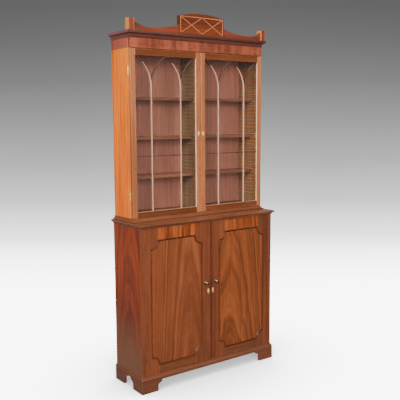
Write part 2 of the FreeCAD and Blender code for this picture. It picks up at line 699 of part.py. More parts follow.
def make_crest():
    """The crest: corner blocks, swept wings and an arched tablet with light stringing."""
    lines = [string_line("string_top_line", "-string_half", "string_middle", "string_half", "string_middle")]
    for side in (-1, 1):
        edge, low = "%d * string_half" % side, "string_bottom + string_width"
        for word, x0, z0, x1, z1 in (("upright", edge, "string_bottom", edge, "string_top"),
                                     ("fall", edge, "string_middle", "0", low),
                                     ("rise", edge, low, "0", "string_middle")):
            lines.append(string_line("string_%s_%d" % (word, side + 1), x0, z0, x1, z1))
    tablet_lines = fuse("tablet_stringing", *lines)

    body = new_body("tablet_body")
    sketch = outline(body, "tablet_outline", "XZ_Plane",
                     [("-tablet_half", "cornice_top"), ("tablet_half", "cornice_top"),
                      ("tablet_half", "tablet_top", "tablet_radius"), ("-tablet_half", "tablet_top")],
                     "tablet_back")
    pad(body, "tablet_board", sketch, "tablet_thickness")
    piece(cut("tablet_cut", body, tablet_lines), "crest_tablet")

    wings, blocks, strings = [], [], [tablet_lines]
    for side in (-1, 1):
        body = new_body("wing_%d" % (side + 1))
        low = "%d * (block_inner - wing_low_reach)" % side
        turn = "" if side < 0 else "-"
        corners = [("%d * block_inner" % side, "cornice_top"),
                   ("%d * block_inner" % side, "cornice_top + wing_end_height", turn + "wing_end_radius"),
                   (low, "cornice_top + wing_low_height", turn + "wing_inner_radius"),
                   ("%d * tablet_half" % side, "cornice_top + wing_inner_height"),
                   ("%d * tablet_half" % side, "cornice_top")]
        pad(body, "wing_board_%d" % (side + 1),
            outline(body, "wing_outline_%d" % (side + 1), "XZ_Plane", corners, "wing_back"), "wing_thickness")
        wings.append(body)
        post = block("post_%d" % (side + 1), "block_inner", "block_outer", "crest_front - block_depth",
                     "crest_front", "cornice_top", "cornice_top + block_height", side)
        for word, x0, x1 in (("inner", "block_inner", "block_inner + string_width"),
                             ("outer", "block_outer - string_width", "block_outer")):
            line = block("post_line_%s_%d" % (word, side + 1), x0, x1, "crest_front - string_depth",
                         "crest_front", "cornice_top", "cornice_top + block_height", side)
            strings.append(line)
            post = cut("post_%s_%d" % (word, side + 1), post, line)
        blocks.append(post)
    piece(group("wings", *wings), "crest_wings")
    piece(group("posts", *blocks), "crest_corner_blocks")
    piece(group("stringing", *strings), "crest_stringing")


# ---- locks, plates and knobs ------------------------------------------------------

def keyhole(name, x, level, near, far):
    """A round hole over a narrow slot, cut from one depth to another."""
    hole = rod(name + "_round", x, near, level, "keyhole_radius", "(%s) - (%s)" % (far, near),
               Vector(0, -1, 0))
    slot = block(name + "_slot", "%s - keyhole_slot / 2" % x, "%s + keyhole_slot / 2" % x, near, far,
                 level + " - keyhole_drop", level)
    return fuse(name, hole, slot)


def escutcheon(story, side, word, face):
    """A pointed oval key plate on the face of a meeting stile."""
    name = "%s_%s_plate" % (story, word)
    size = "%s_plate" % story
    body = new_body(name)
    x = "%d * %s_offset" % (side, size)
    top, bottom = ["%s_level %s %s_height / 2" % (size, sign, size) for sign in "+-"]
    sketch = outline(body, name + "_outline", "XZ_Plane",
                     [(x, bottom, size + "_radius"), (x, top, size + "_radius")], face)
    pad(body, name + "_solid", sketch, "plate_thickness")
    hole = keyhole(name + "_keyhole", x, size + "_level", face, face + " + plate_thickness")
    piece(cut(name + "_cut", body, hole), "%s_%s_door_escutcheon" % (story, word))


def lock_spaces(story, side, front):
    """What a meeting stile loses to the lock: the right one its mortise, the left one its strike."""
    level, middle = story + "_plate_level", story + "_lock_middle"
    name = "%s_lock_space_%d" % (story, side + 1)
    x = "%d * %s_plate_offset" % (side, story)
    if side > 0:
        half, tall = "lock_thickness / 2", "%s_lock_height / 2" % story
        mortise = block(name, "meeting_half", "meeting_half + %s_lock_depth" % story,
                        "%s - %s" % (middle, half), "%s + %s" % (middle, half),
                        "%s - %s" % (level, tall), "%s + %s" % (level, tall))
        return [mortise, keyhole(name + "_keyhole", x, level, "%s + %s" % (middle, half), front)]
    half, tall = "(bolt_thickness / 2 + bolt_gap)", "(bolt_height / 2 + bolt_gap)"
    strike = block(name, "-(meeting_half + strike_depth)", "-meeting_half", "%s - %s" % (middle, half),
                   "%s + %s" % (middle, half), "%s - %s" % (level, tall), "%s + %s" % (level, tall))
    return [strike, keyhole(name + "_keyhole", x, level, front + " - dummy_keyhole_depth", front)]


def make_lock(story):
    """A lock case in the right-hand meeting stile, and the bolt that slides in it."""
    level, middle = story + "_plate_level", story + "_lock_middle"
    half, tall, depth = "lock_thickness / 2", "%s_lock_height / 2" % story, "%s_lock_depth" % story
    case = block(story + "_case_block", "meeting_half", "meeting_half + " + depth, "%s - %s" % (middle, half),
                 "%s + %s" % (middle, half), "%s - %s" % (level, tall), "%s + %s" % (level, tall))
    near, far = "%s - bolt_thickness / 2" % middle, "%s + bolt_thickness / 2" % middle
    low, high = "%s - bolt_height / 2" % level, "%s + bolt_height / 2" % level
    room = block(story + "_case_room", "meeting_half", "meeting_half + %s - lock_wall" % depth,
                 near + " - bolt_gap", far + " + bolt_gap", low + " - bolt_gap", high + " + bolt_gap")
    piece(cut(story + "_case_cut", case, room), story + "_lock_case")
    tip, tail = "meeting_half + bolt_setback", "meeting_half + %s - lock_wall - bolt_tail_room" % depth
    piece(block(story + "_bolt", tip, tail, near, far, low, high), story + "_lock_bolt")


def make_knob(side, word):
    """A turned knob: a flat rose, a waisted neck and a domed head."""
    body = new_body("knob_" + word)
    bind(body, Placement__Base__x="%d * knob_offset" % side, Placement__Base__y="back_y - lower_depth",
         Placement__Base__z="knob_level")
    corners = [("0", "0"), ("knob_rose_radius", "0"), ("knob_rose_radius", "rose_edge - knob_rose_thickness"),
               ("knob_neck_radius", "-knob_rose_thickness - rose_edge"),
               ("knob_neck_radius", "-knob_rose_thickness - knob_neck"),
               ("knob_radius - knob_rim / 2", "knob_rim - knob_dome_start"),
               ("knob_radius", "-knob_dome_start", "-knob_dome_radius"), ("0", "-knob_projection")]
    sketch = outline(body, "knob_profile_" + word, "XY_Plane", corners)
    turned = body.newObject("PartDesign::Revolution", "knob_turned_" + word)
    turned.Profile = sketch
    turned.ReferenceAxis = (sketch, ["V_Axis"])
    turned.Angle = 360
    piece(body, "lower_%s_door_knob" % word)


# ---- glazed doors -------------------------------------------------------------------

def arch(name, x, side):
    """A quarter of a pointed arch: it leaves a bar's top and leans to one side."""
    rings = []
    for word, sign in (("outer", "+"), ("inner", "-")):
        ring = doc.addObject("Part::Cylinder", "%s_%s" % (name, word))
        bind(ring, Radius="arch_radius %s bar_width / 2" % sign, Height="bar_depth", Angle=90)
        turn = Rotation(Vector(1, 0, 0), 90)
        ring.Placement.Rotation = turn if side < 0 else turn.multiply(Rotation(Vector(0, 0, 1), 90))
        rings.append(locate(ring, "%s + %d * arch_radius" % (x, side), "glass_front", "spring_level"))
    return cut(name, *rings)


def make_glazing_bars(side, word):
    """Two upright bars that fork into pointed arches, and the thin bar at the pane joint."""
    name = "upper_%s_bars" % word
    middle = "%d * opening_middle" % side
    parts = []
    for count in (-1, 1):
        x = "%s + %d * bar_spacing / 2" % (middle, count)
        parts.append(block("%s_upright_%d" % (name, count + 1), x + " - bar_width / 2",
                           x + " + bar_width / 2", "glass_front", "upper_front", "opening_bottom",
                           "spring_level"))
        parts += [arch("%s_arch_%d_%d" % (name, count + 1, lean + 1), x, lean) for lean in (-1, 1)]
    parts.append(block(name + "_joint", "opening_inner", "opening_outer", "glass_front",
                       "glass_front + bar_depth / 2", "pane_joint_level",
                       "pane_joint_level + pane_joint_width", side))
    lattice = fuse(name + "_lattice", *parts)
    window = block(name + "_window", "opening_inner", "opening_outer", "glass_front", "upper_front",
                   "opening_bottom", "opening_top", side)
    piece(common(name + "_trimmed", lattice, window), "upper_%s_door_glazing_bars" % word)


def make_upper_door(side, word):
    """One glazed door: frame, bars, glass, hinge leaves and key plate."""
    name = "upper_%s_door" % word
    rebate = block(name + "_rebate", "opening_inner - rebate_width", "opening_outer + rebate_width",
                   "upper_back", "glass_front", "opening_bottom - rebate_width",
                   "opening_top + rebate_width", side)
    members = []
    for part, x0, x1, z0, z1, extra in (
            ("hinge_stile", "opening_outer", "upper_half", "upper_door_bottom", "upper_door_top",
             hinge_recesses("upper", side, "door", name + "_recess")),
            ("meeting_stile", "meeting_half", "opening_inner", "upper_door_bottom", "upper_door_top",
             lock_spaces("upper", side, "upper_front")),
            ("top_rail", "opening_inner", "opening_outer", "opening_top", "upper_door_top", []),
            ("bottom_rail", "opening_inner", "opening_outer", "upper_door_bottom", "opening_bottom", [])):
        board = block("%s_%s" % (name, part), x0, x1, "upper_back", "upper_front", z0, z1, side)
        members.append(cut("%s_%s_cut" % (name, part), board, rebate, *extra))
    piece(group(name + "_members", *members), name + "_frame")
    make_glazing_bars(side, word)
    room = "(rebate_width - glass_gap)"
    piece(block(name + "_pane", "opening_inner - " + room, "opening_outer + " + room, "glass_back",
                "glass_front", "opening_bottom - " + room, "opening_top + " + room, side), name + "_glass")
    escutcheon("upper", side, word, "upper_front")
    return door_hinges("upper", side, word)


def make_meeting_bead(story, face, bottom, top):
    """The bead along the right-hand door's meeting edge."""
    piece(block(story + "_bead", "meeting_half", "meeting_half + bead_width", face, face + " + bead_proud",
                bottom, top), story + "_meeting_bead")


# ---- panelled doors -----------------------------------------------------------------

def panel_shape(name, inset, near, far, side):
    """The panel's outline, drawn in by an inset, with a hollow quarter round at each corner."""
    x0, x1 = "panel_inner + " + inset, "panel_outer - " + inset
    z0, z1 = "panel_bottom + " + inset, "panel_top - " + inset
    solid = block(name + "_field", x0, x1, near, far, z0, z1, side)
    tools = []
    for x, across in (("panel_inner", "+"), ("panel_outer", "-")):
        for z, up in (("panel_bottom", "+"), ("panel_top", "-")):
            tag = "%s_%s_%s" % (name, x[6:], z[6:])
            centre_x, centre_z = "%s %s corner_step" % (x, across), "%s %s corner_step" % (z, up)
            reach_x = "%s %s (corner_square + %s)" % (x, across, inset)
            reach_z = "%s %s (corner_square + %s)" % (z, up, inset)
            span_x = (x, reach_x) if across == "+" else (reach_x, x)
            span_z = (z, reach_z) if up == "+" else (reach_z, z)
            thin_x = (x, centre_x) if across == "+" else (centre_x, x)
            thin_z = (z, centre_z) if up == "+" else (centre_z, z)
            tools.append(block(tag + "_flat", *span_x, near, far, *thin_z, side))
            tools.append(block(tag + "_tall", *thin_x, near, far, *span_z, side))
            tools.append(rod(tag + "_round", "%d * (%s)" % (side, centre_x), near, centre_z,
                             "corner_radius + " + inset, "(%s) - (%s)" % (far, near), Vector(0, -1, 0)))
    return cut(name, solid, fuse(name + "_corners", *tools))


def make_lower_door(side, word):
    """One panelled door: frame, panel, moulding, knob, key plate and hinge leaves."""
    name = "lower_%s_door" % word
    mid = "moulding_width / 2"
    hole = panel_shape(name + "_hole", mid, "lower_door_back", "lower_depth", side)
    members = []
    for part, x0, x1, z0, z1, extra in (
            ("hinge_stile", "panel_outer - corner_square", "lower_door_outer", "lower_door_bottom",
             "lower_door_top", hinge_recesses("lower", side, "door", name + "_recess")),
            ("meeting_stile", "meeting_half", "panel_inner + corner_square", "lower_door_bottom",
             "lower_door_top", lock_spaces("lower", side, "lower_depth")),
            ("top_rail", "panel_inner + corner_square", "panel_outer - corner_square",
             "panel_top - moulding_width", "lower_door_top", []),
            ("bottom_rail", "panel_inner + corner_square", "panel_outer - corner_square",
             "lower_door_bottom", "panel_bottom + moulding_width", [])):
        board = block("%s_%s" % (name, part), x0, x1, "lower_door_back", "lower_depth", z0, z1, side)
        members.append(cut("%s_%s_cut" % (name, part), board, hole, *extra))
    piece(group(name + "_members", *members), name + "_frame")
    piece(panel_shape(name + "_panel_board", mid, "panel_front - panel_thickness", "panel_front", side),
          name + "_panel")
    front = "lower_depth + moulding_proud"
    outer = panel_shape(name + "_mould_outer", "0", "lower_depth", front, side)
    middle = panel_shape(name + "_mould_middle", mid, "panel_front", front, side)
    inner = panel_shape(name + "_mould_inner", "moulding_width", "panel_front", front, side)
    piece(cut(name + "_mould_cut", fuse(name + "_mould", outer, middle), inner), name + "_panel_moulding")
    make_knob(side, word)
    escutcheon("lower", side, word, "lower_depth")
    return door_hinges("lower", side, word)


# ---- assembly, checks and files --------------------------------------------------------

def make_doors():
    """All four doors with their beads and locks, and the hinge leaves on the carcases."""
    leaves = []
    for side, word in ((-1, "left"), (1, "right")):
        leaves += make_upper_door(side, word)
        leaves += make_lower_door(side, word)
    piece(group("carcase_leaves", *leaves), "carcase_hinge_leaves")
    make_meeting_bead("upper", "upper_front", "upper_door_bottom", "upper_door_top")
    make_meeting_bead("lower", "lower_depth", "lower_door_bottom", "lower_door_top")
    make_lock("upper")
    make_lock("lower")


def check_and_write():
    """Refuse a failed feature or a bad shape, then write each sub-part to its file."""
    doc.recompute()
    for thing in doc.Objects:
        if "Invalid" in thing.State or "Error" in thing.State:
            raise ValueError("%s failed: %s" % (thing.Name, thing.State))
    labels = [node.Label for node in nodes]
    if len(set(labels)) != len(labels):
        raise ValueError("two sub-parts share a label")
    os.makedirs("parts", exist_ok=True)
    for node in nodes:
        if node.Shape.isNull() or not node.Shape.isValid() or not node.Shape.Solids:
            raise ValueError(node.Label + " has no valid shape")
        node.Shape.exportStep("parts/%s.step" % node.Label)
    print("%d sub-parts written" % len(nodes))


make_plinth()
make_lower_carcase()
make_lower_shelf()
make_waist_moulding()
make_base_moulding()
make_upper_carcase()
make_upper_shelves()
make_frieze()
make_cornice()
make_crest()
make_doors()
check_and_write()
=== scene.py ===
# %% [markdown]
# # A glazed bookcase on a cupboard
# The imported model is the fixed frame: it says where each board, door and shelf is, and how
# the doors and shelves move. Everything below is built round it, in metres, with X to the
# right, Y to the back and Z up. Looks come from new surfaces and from node materials.

# %% Load the frame
import json
import math
import zlib

import bmesh
import bpy
import numpy as np
from mathutils import Matrix, Vector


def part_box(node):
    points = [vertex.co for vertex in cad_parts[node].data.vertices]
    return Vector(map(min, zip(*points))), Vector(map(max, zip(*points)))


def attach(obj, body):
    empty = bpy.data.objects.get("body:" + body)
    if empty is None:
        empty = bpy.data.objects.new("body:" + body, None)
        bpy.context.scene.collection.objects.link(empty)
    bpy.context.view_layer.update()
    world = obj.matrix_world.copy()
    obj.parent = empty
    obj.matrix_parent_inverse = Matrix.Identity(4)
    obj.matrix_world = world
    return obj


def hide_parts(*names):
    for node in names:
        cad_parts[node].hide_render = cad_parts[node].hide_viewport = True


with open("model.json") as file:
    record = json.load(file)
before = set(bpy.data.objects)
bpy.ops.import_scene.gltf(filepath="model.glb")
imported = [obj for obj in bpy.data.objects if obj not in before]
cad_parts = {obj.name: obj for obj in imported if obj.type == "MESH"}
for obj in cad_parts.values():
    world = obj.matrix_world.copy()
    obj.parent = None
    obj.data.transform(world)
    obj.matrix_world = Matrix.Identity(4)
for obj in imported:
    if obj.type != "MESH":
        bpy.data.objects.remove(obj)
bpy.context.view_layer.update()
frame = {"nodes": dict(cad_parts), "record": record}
MM = 0.001

# %% [markdown]
# ## The camera
# The piece is seen from its left front corner, from about the height of a standing person's
# eyes, with a slightly long lens. The camera is turned by three angles: its heading, its tilt
# and a very small roll.

# %% Make the camera
CAMERA_PLACE = Vector((-2.330, -3.232, 1.597))
HEADING, TILT, ROLL = math.radians(-36.087), math.radians(-7.169), math.radians(-0.328)
SENSOR, FOCAL = 36.0, 57.54


def make_camera():
    """Turns the camera about its own view line, then tilts it, then heads it."""
    camera = bpy.data.objects.new("camera", bpy.data.cameras.new("camera"))
    camera.data.sensor_width, camera.data.lens = SENSOR, FOCAL
    turn = (Matrix.Rotation(HEADING, 4, "Z") @ Matrix.Rotation(math.pi / 2 + TILT, 4, "X")
            @ Matrix.Rotation(ROLL, 4, "Z"))
    camera.matrix_world = Matrix.Translation(CAMERA_PLACE) @ turn
    bpy.context.scene.collection.objects.link(camera)
    bpy.context.scene.camera = camera
    return camera


camera = make_camera()
print("camera", tuple(round(x, 3) for x in camera.location))

# %% [markdown]
# ## Nodes in short
# A node material is a little program. These helpers add one node each and hand back the
# output that the next node needs, so that a recipe reads from top to bottom. A number or a
# colour is set on the socket, and another node's output is linked to it.

# %% Node helpers
def add(tree, kind, values=None, output=0, **settings):
    """Adds a node, with its settings and its inputs, and returns one of its outputs."""
    node = tree.nodes.new("ShaderNode" + kind)
    for name, setting in settings.items():
        setattr(node, name, setting)
    for name, value in (values or {}).items():
        if isinstance(value, bpy.types.NodeSocket):
            tree.links.new(value, node.inputs[name])
        else:
            node.inputs[name].default_value = value
    return node.outputs[output]


def calc(tree, operation, first, second=0.0, third=0.0):
    """One step of arithmetic."""
    return add(tree, "Math", {0: first, 1: second, 2: third}, operation=operation)


def noise(tree, vector, stretch, detail=3.0, roughness=0.55, distortion=0.0):
    """Noise whose grains are 1 / stretch metres long in each direction."""
    spread = add(tree, "VectorMath", {0: vector, 1: stretch}, operation="MULTIPLY")
    return add(tree, "TexNoise", {"Vector": spread, "Scale": 1.0, "Detail": detail,
                                  "Roughness": roughness, "Distortion": distortion})


def ramp(tree, factor, stops, ease=False):
    """Colours between stops, each a position and a colour."""
    node = tree.nodes.new("ShaderNodeValToRGB")
    node.color_ramp.interpolation = "EASE" if ease else "LINEAR"
    while len(node.color_ramp.elements) < len(stops):
        node.color_ramp.elements.new(0.5)
    for element, (place, colour) in zip(node.color_ramp.elements, stops):
        element.position, element.color = place, colour
    tree.links.new(factor, node.inputs[0])
    return node.outputs[0]


def mix(tree, factor, first, second, blend="MIX"):
    """Two colours mixed."""
    return add(tree, "Mix", {0: factor, 6: first, 7: second}, output=2, data_type="RGBA",
               blend_type=blend)


def remap(tree, value, low, high, to_low=0.0, to_high=1.0):
    """Takes the range low to high to another one, and stops at its ends."""
    return add(tree, "MapRange", {0: value, 1: low, 2: high, 3: to_low, 4: to_high})


def rgb(red, green, blue):
    """A colour given as on a screen, 0 to 255, as the light values that nodes use."""
    return tuple((c / 255) ** 2.2 for c in (red, green, blue)) + (1.0,)


def grey(level):
    """A grey between black and white, for a socket that multiplies."""
    return (level, level, level, 1.0)


def new_material(name):
    """An empty material with its tree and its shader."""
    material = bpy.data.materials.new(name)
    material.use_nodes = True
    return material, material.node_tree, material.node_tree.nodes["Principled BSDF"]


def bump(tree, shader, height, depth):
    """Links a height, 0 to 1, to the shader as a relief of that depth in metres."""
    normal = add(tree, "Bump", {"Height": height, "Strength": 1.0, "Distance": depth})
    tree.links.new(normal, shader.inputs["Normal"])


# %% [markdown]
# ## Floor, backdrop and light
# The studio is one seamless sheet: a pale floor that curves up into a wall behind the piece.
# The wall darkens with height, a painted fall-off of light, so the outline of the crest stands
# out. The sheet glows by itself as painted light, and the glow is dimmed close to the feet as a
# painted shadow; it casts none of its light on the piece. One large soft lamp on the left does
# most of the work, and two weaker ones open up the shadows.

# %% Seamless sheet
SHEET_WIDTH, FLOOR_FRONT, FLOOR_BACK, CURVE, WALL_TOP = 60.0, -24.0, 2.2, 2.5, 9.0
# Height on the wall, share of light thrown back there, and painted glow there.
WALL_TONES = ((0.0, 0.50, 7.5), (0.10, 0.48, 5.0), (0.25, 0.42, 2.3), (0.60, 0.36, 0.85),
              (1.05, 0.30, 0.40), (1.60, 0.20, 0.22), (2.12, 0.13, 0.13), (2.65, 0.09, 0.09),
              (3.1, 0.07, 0.07), (9.0, 0.05, 0.05))
FULL_GLOW = 8.0
# How fast the glow dims in a painted shadow where the piece hides the sheet, how dim it may get, and
# from how far.
SHADE_POWER, SHADE_LEAST, SHADE_REACH = 2.4, 0.08, 0.7


def sheet_grid():
    """Points across u by points along v: flat floor, a quarter circle, then a straight wall.
    The sheet's v direction is the camera's heading."""
    turn = np.linspace(0, math.pi / 2, 24)
    far = np.concatenate([[FLOOR_FRONT], FLOOR_BACK + CURVE * np.sin(turn), [FLOOR_BACK + CURVE]])
    high = np.concatenate([[0.0], CURVE * (1 - np.cos(turn)), [WALL_TOP]])
    u = np.linspace(-SHEET_WIDTH / 2, SHEET_WIDTH / 2, 3)
    ahead = np.array([-math.sin(HEADING), math.cos(HEADING)])
    across = np.array([ahead[1], -ahead[0]])
    flat = u[:, None, None] * across + far[None, :, None] * ahead
    return np.concatenate([flat, np.broadcast_to(high[None, :, None], flat.shape[:2] + (1,))], 2)


def grid_faces(rows, columns, around_rows=False, around_columns=False):
    """Four-sided faces of a grid, row by row; a grid may close on itself either way."""
    r = np.arange(rows if around_rows else rows - 1)
    c = np.arange(columns if around_columns else columns - 1)
    r, c = np.meshgrid(r, c, indexing="ij")
    below, right = (r + 1) % rows, (c + 1) % columns
    corners = (r * columns + c, r * columns + right, below * columns + right, below * columns + c)
    return np.stack(corners, -1).reshape(-1, 4).tolist()


def new_object(name, points, faces, smooth_angle=40):
    """A mesh object from points and faces, smooth but for its sharp edges."""
    mesh = bpy.data.meshes.new(name)
    mesh.from_pydata(points.reshape(-1, 3).tolist(), [], faces)
    mesh.shade_smooth()
    mesh.set_sharp_from_angle(angle=math.radians(smooth_angle))
    made = bpy.data.objects.new(name, mesh)
    bpy.context.scene.collection.objects.link(made)
    return made


def rework(piece, change):
    """Puts a piece's mesh through one change made on its editable form."""
    work = bmesh.new()
    work.from_mesh(piece.data)
    change(work)
    work.to_mesh(piece.data)
    work.free()


def outward(piece):
    """Points every face of a closed surface outwards."""
    rework(piece, lambda work: bmesh.ops.recalc_face_normals(work, faces=work.faces))


def studio_material():
    """A matt white that darkens with height and glows: painted light, strongest near the
    floor. Ambient occlusion, the share of sky that a point sees, dims the glow near the feet
    as a painted shadow."""
    material, tree, shader = new_material("studio")
    height = add(tree, "SeparateXYZ", {0: add(tree, "TexCoord", output=3)}, output=2)
    share = calc(tree, "POWER", calc(tree, "DIVIDE", height, WALL_TOP), 0.5)
    stops = [((at / WALL_TOP) ** 0.5, grey(tone), grey(glow / FULL_GLOW))
             for at, tone, glow in WALL_TONES]
    colour = ramp(tree, share, [(at, tone) for at, tone, _ in stops])
    tree.links.new(colour, shader.inputs["Base Color"])
    open_share = add(tree, "AmbientOcclusion", {"Distance": SHADE_REACH}, output=1, samples=6)
    shade = calc(tree, "MAXIMUM", calc(tree, "POWER", open_share, SHADE_POWER), SHADE_LEAST)
    glow = mix(tree, 1.0, ramp(tree, share, [(at, glow) for at, _, glow in stops]), shade, "MULTIPLY")
    tree.links.new(glow, shader.inputs["Emission Color"])
    shader.inputs["Emission Strength"].default_value = FULL_GLOW
    shader.inputs["Roughness"].default_value = 0.9
    shader.inputs["Specular IOR Level"].default_value = 0.1
    return material


grid = sheet_grid()
studio = new_object("studio_sheet", grid, grid_faces(*grid.shape[:2]))
studio.data.materials.append(studio_material())
studio.visible_diffuse = studio.visible_glossy = False
print("studio sheet", len(studio.data.polygons), "faces")

# %% Lamps and sky
LAMPS = {"key_lamp": ((-4.6, -2.6, 3.2), 2.2, 390), "fill_lamp": ((-1.3, -5.2, 2.4), 2.2, 270),
         "top_lamp": ((-0.4, -1.6, 5.0), 2.2, 90)}
LAMP_TARGET = Vector((0.0, 0.0, 1.1))


def make_lamps():
    """Square soft lamps, each aimed at the middle of the piece, and a grey sky."""
    for name, (place, size, power) in LAMPS.items():
        lamp = bpy.data.objects.new(name, bpy.data.lights.new(name, "AREA"))
        lamp.data.size, lamp.data.energy = size, power
        lamp.location = place
        lamp.rotation_euler = (LAMP_TARGET - lamp.location).to_track_quat("-Z", "Y").to_euler()
        bpy.context.scene.collection.objects.link(lamp)
    world = bpy.data.worlds.new("sky")
    world.use_nodes = True
    world.node_tree.nodes["Background"].inputs["Color"].default_value = (0.90, 0.93, 1.0, 1)
    world.node_tree.nodes["Background"].inputs["Strength"].default_value = 0.28
    bpy.context.scene.world = world
    return len(LAMPS)


print("lamps", make_lamps())

# %% [markdown]
# ## Mahogany under french polish
# All the timber is read from an attribute called timber, in metres: its first number runs
# along the grain, the other two across it. Each board writes its own, so one recipe serves
# stiles, rails and curved mouldings alike. The recipe mixes slow bands, fine streaks and
# pores, and a clear coat stands for the polish. Every finish has a paler twin for the worn
# arrises.

# %% Timber recipe
def timber_place(tree):
    """The coordinates that every board carries."""
    return add(tree, "Attribute", output=1, attribute_name="timber")


def board_tone(tree, spread):
    """A brightness near one that differs from board to board."""
    tone = add(tree, "Attribute", output=2, attribute_name="board_tone")
    return calc(tree, "MULTIPLY_ADD", tone, spread, 1.0 - spread / 2)


def polish(tree, shader, colour, place, gloss, coat=0.2):
    """The finish over any timber: uneven gloss, a clear coat and a faint grain relief."""
    cloud = noise(tree, place, (6, 14, 14), detail=3)
    tree.links.new(remap(tree, cloud, 0.3, 0.7, gloss - 0.05, gloss + 0.08),
                   shader.inputs["Roughness"])
    tree.links.new(colour, shader.inputs["Base Color"])
    shader.inputs["Coat Weight"].default_value = coat
    shader.inputs["Coat Roughness"].default_value = 0.12
    shader.inputs["Specular IOR Level"].default_value = 0.3
    pores = noise(tree, place, (40, 900, 900), detail=2)
    bump(tree, shader, pores, 0.00012)


def mahogany(name, dark, middle, pale, streak=0.5, gloss=0.30, spread=0.12, coat=0.2):
    """A plain board: slow bands and fine streaks choose a colour, and pores darken it."""
    material, tree, shader = new_material(name)
    place = timber_place(tree)
    slow = noise(tree, place, (0.9, 7, 7), detail=3, distortion=0.6)
    fine = noise(tree, place, (2.2, 70, 70), detail=5, roughness=0.65)
    share = calc(tree, "MULTIPLY_ADD", fine, streak, calc(tree, "MULTIPLY", slow, 1 - streak))
    colour = ramp(tree, share, [(0.36, dark), (0.50, middle), (0.64, pale)])
    flecks = remap(tree, noise(tree, place, (18, 420, 420), detail=2), 0.36, 0.50, 0.78, 1.0)
    shade = calc(tree, "MULTIPLY", flecks, board_tone(tree, spread))
    tone = add(tree, "CombineColor", {0: shade, 1: shade, 2: shade})
    polish(tree, shader, mix(tree, 1.0, colour, tone, "MULTIPLY"), place, gloss, coat)
    return material


def with_worn_edge(recipe, name, *tones, **settings):
    """A finish and its paler twin, for a bevel's new faces."""
    worn = [tuple(min(1.0, c * 1.35 + 0.01) for c in tone[:3]) + (1.0,) for tone in tones]
    return recipe(name, *tones, **settings), recipe(name + "_worn", *worn, **settings)


def tones(red, green, blue, contrast=0.2):
    """Dark, middle and pale colours round a middle one."""
    return [rgb(*(min(255, c * share) for c in (red, green, blue)))
            for share in (1 - contrast, 1, 1 + contrast)]


# Each timber's middle colour, its contrast, and what differs from the plain recipe.
TIMBERS = {
    "side_golden": ((238, 108, 2), 0.28, {"streak": 0.6, "gloss": 0.42, "coat": 0.05}),
    "door_stile": ((152, 90, 54), 0.2, {}),
    "door_rail": ((100, 55, 31), 0.2, {}),
    "cupboard_stile": ((108, 58, 35), 0.2, {}),
    "cupboard_rail": ((92, 53, 33), 0.2, {}),
    "plinth": ((100, 58, 39), 0.15, {}),
    "waist": ((114, 68, 45), 0.22, {}),
    "cornice": ((76, 47, 41), 0.25, {}),
    # The next two are paler copies of the cornice for its side runs and its downward faces: painted
    # light.
    "cornice_end": ((98, 60, 54), 0.2, {}),
    "cornice_hollow": ((104, 58, 46), 0.2, {}),
    "tablet": ((98, 47, 25), 0.25, {"streak": 0.35}),
    "crest": ((104, 50, 33), 0.25, {"streak": 0.35}),
    "frieze_end": ((148, 75, 55), 0.16, {}),
    "inside": ((134, 98, 66), 0.16, {"gloss": 0.5, "coat": 0.0}),
    "inside_back": ((164, 100, 80), 0.16, {"gloss": 0.5, "coat": 0.0}),
    "shelf": ((122, 75, 50), 0.2, {"gloss": 0.42, "coat": 0.1}),
    "carcase": ((122, 80, 54), 0.2, {"gloss": 0.6, "coat": 0.0}),
    "block_side": ((196, 116, 56), 0.16, {}),
    "moulding": ((84, 42, 22), 0.2, {"gloss": 0.26, "coat": 0.25}),
    # A pale finish used as a painted highlight on the glazed doors.
    "reveal": ((232, 176, 140), 0.12, {"gloss": 0.3}),
}
FINISHES = {name: with_worn_edge(mahogany, name, *tones(*colour, contrast), **settings)
            for name, (colour, contrast, settings) in TIMBERS.items()}
print("finishes", len(FINISHES))

# %% [markdown]
# ## Figured veneers
# The panels of the lower doors are the showpiece. Their veneer is cut near a fork of the
# tree, so its grain bends into arches and swirls. The recipe bends the board's coordinates
# with slow noise and an arch, and reads bands from the bent place. The crossbanding of the
# frieze and the top rails is cut into short lengths whose grain stands upright.

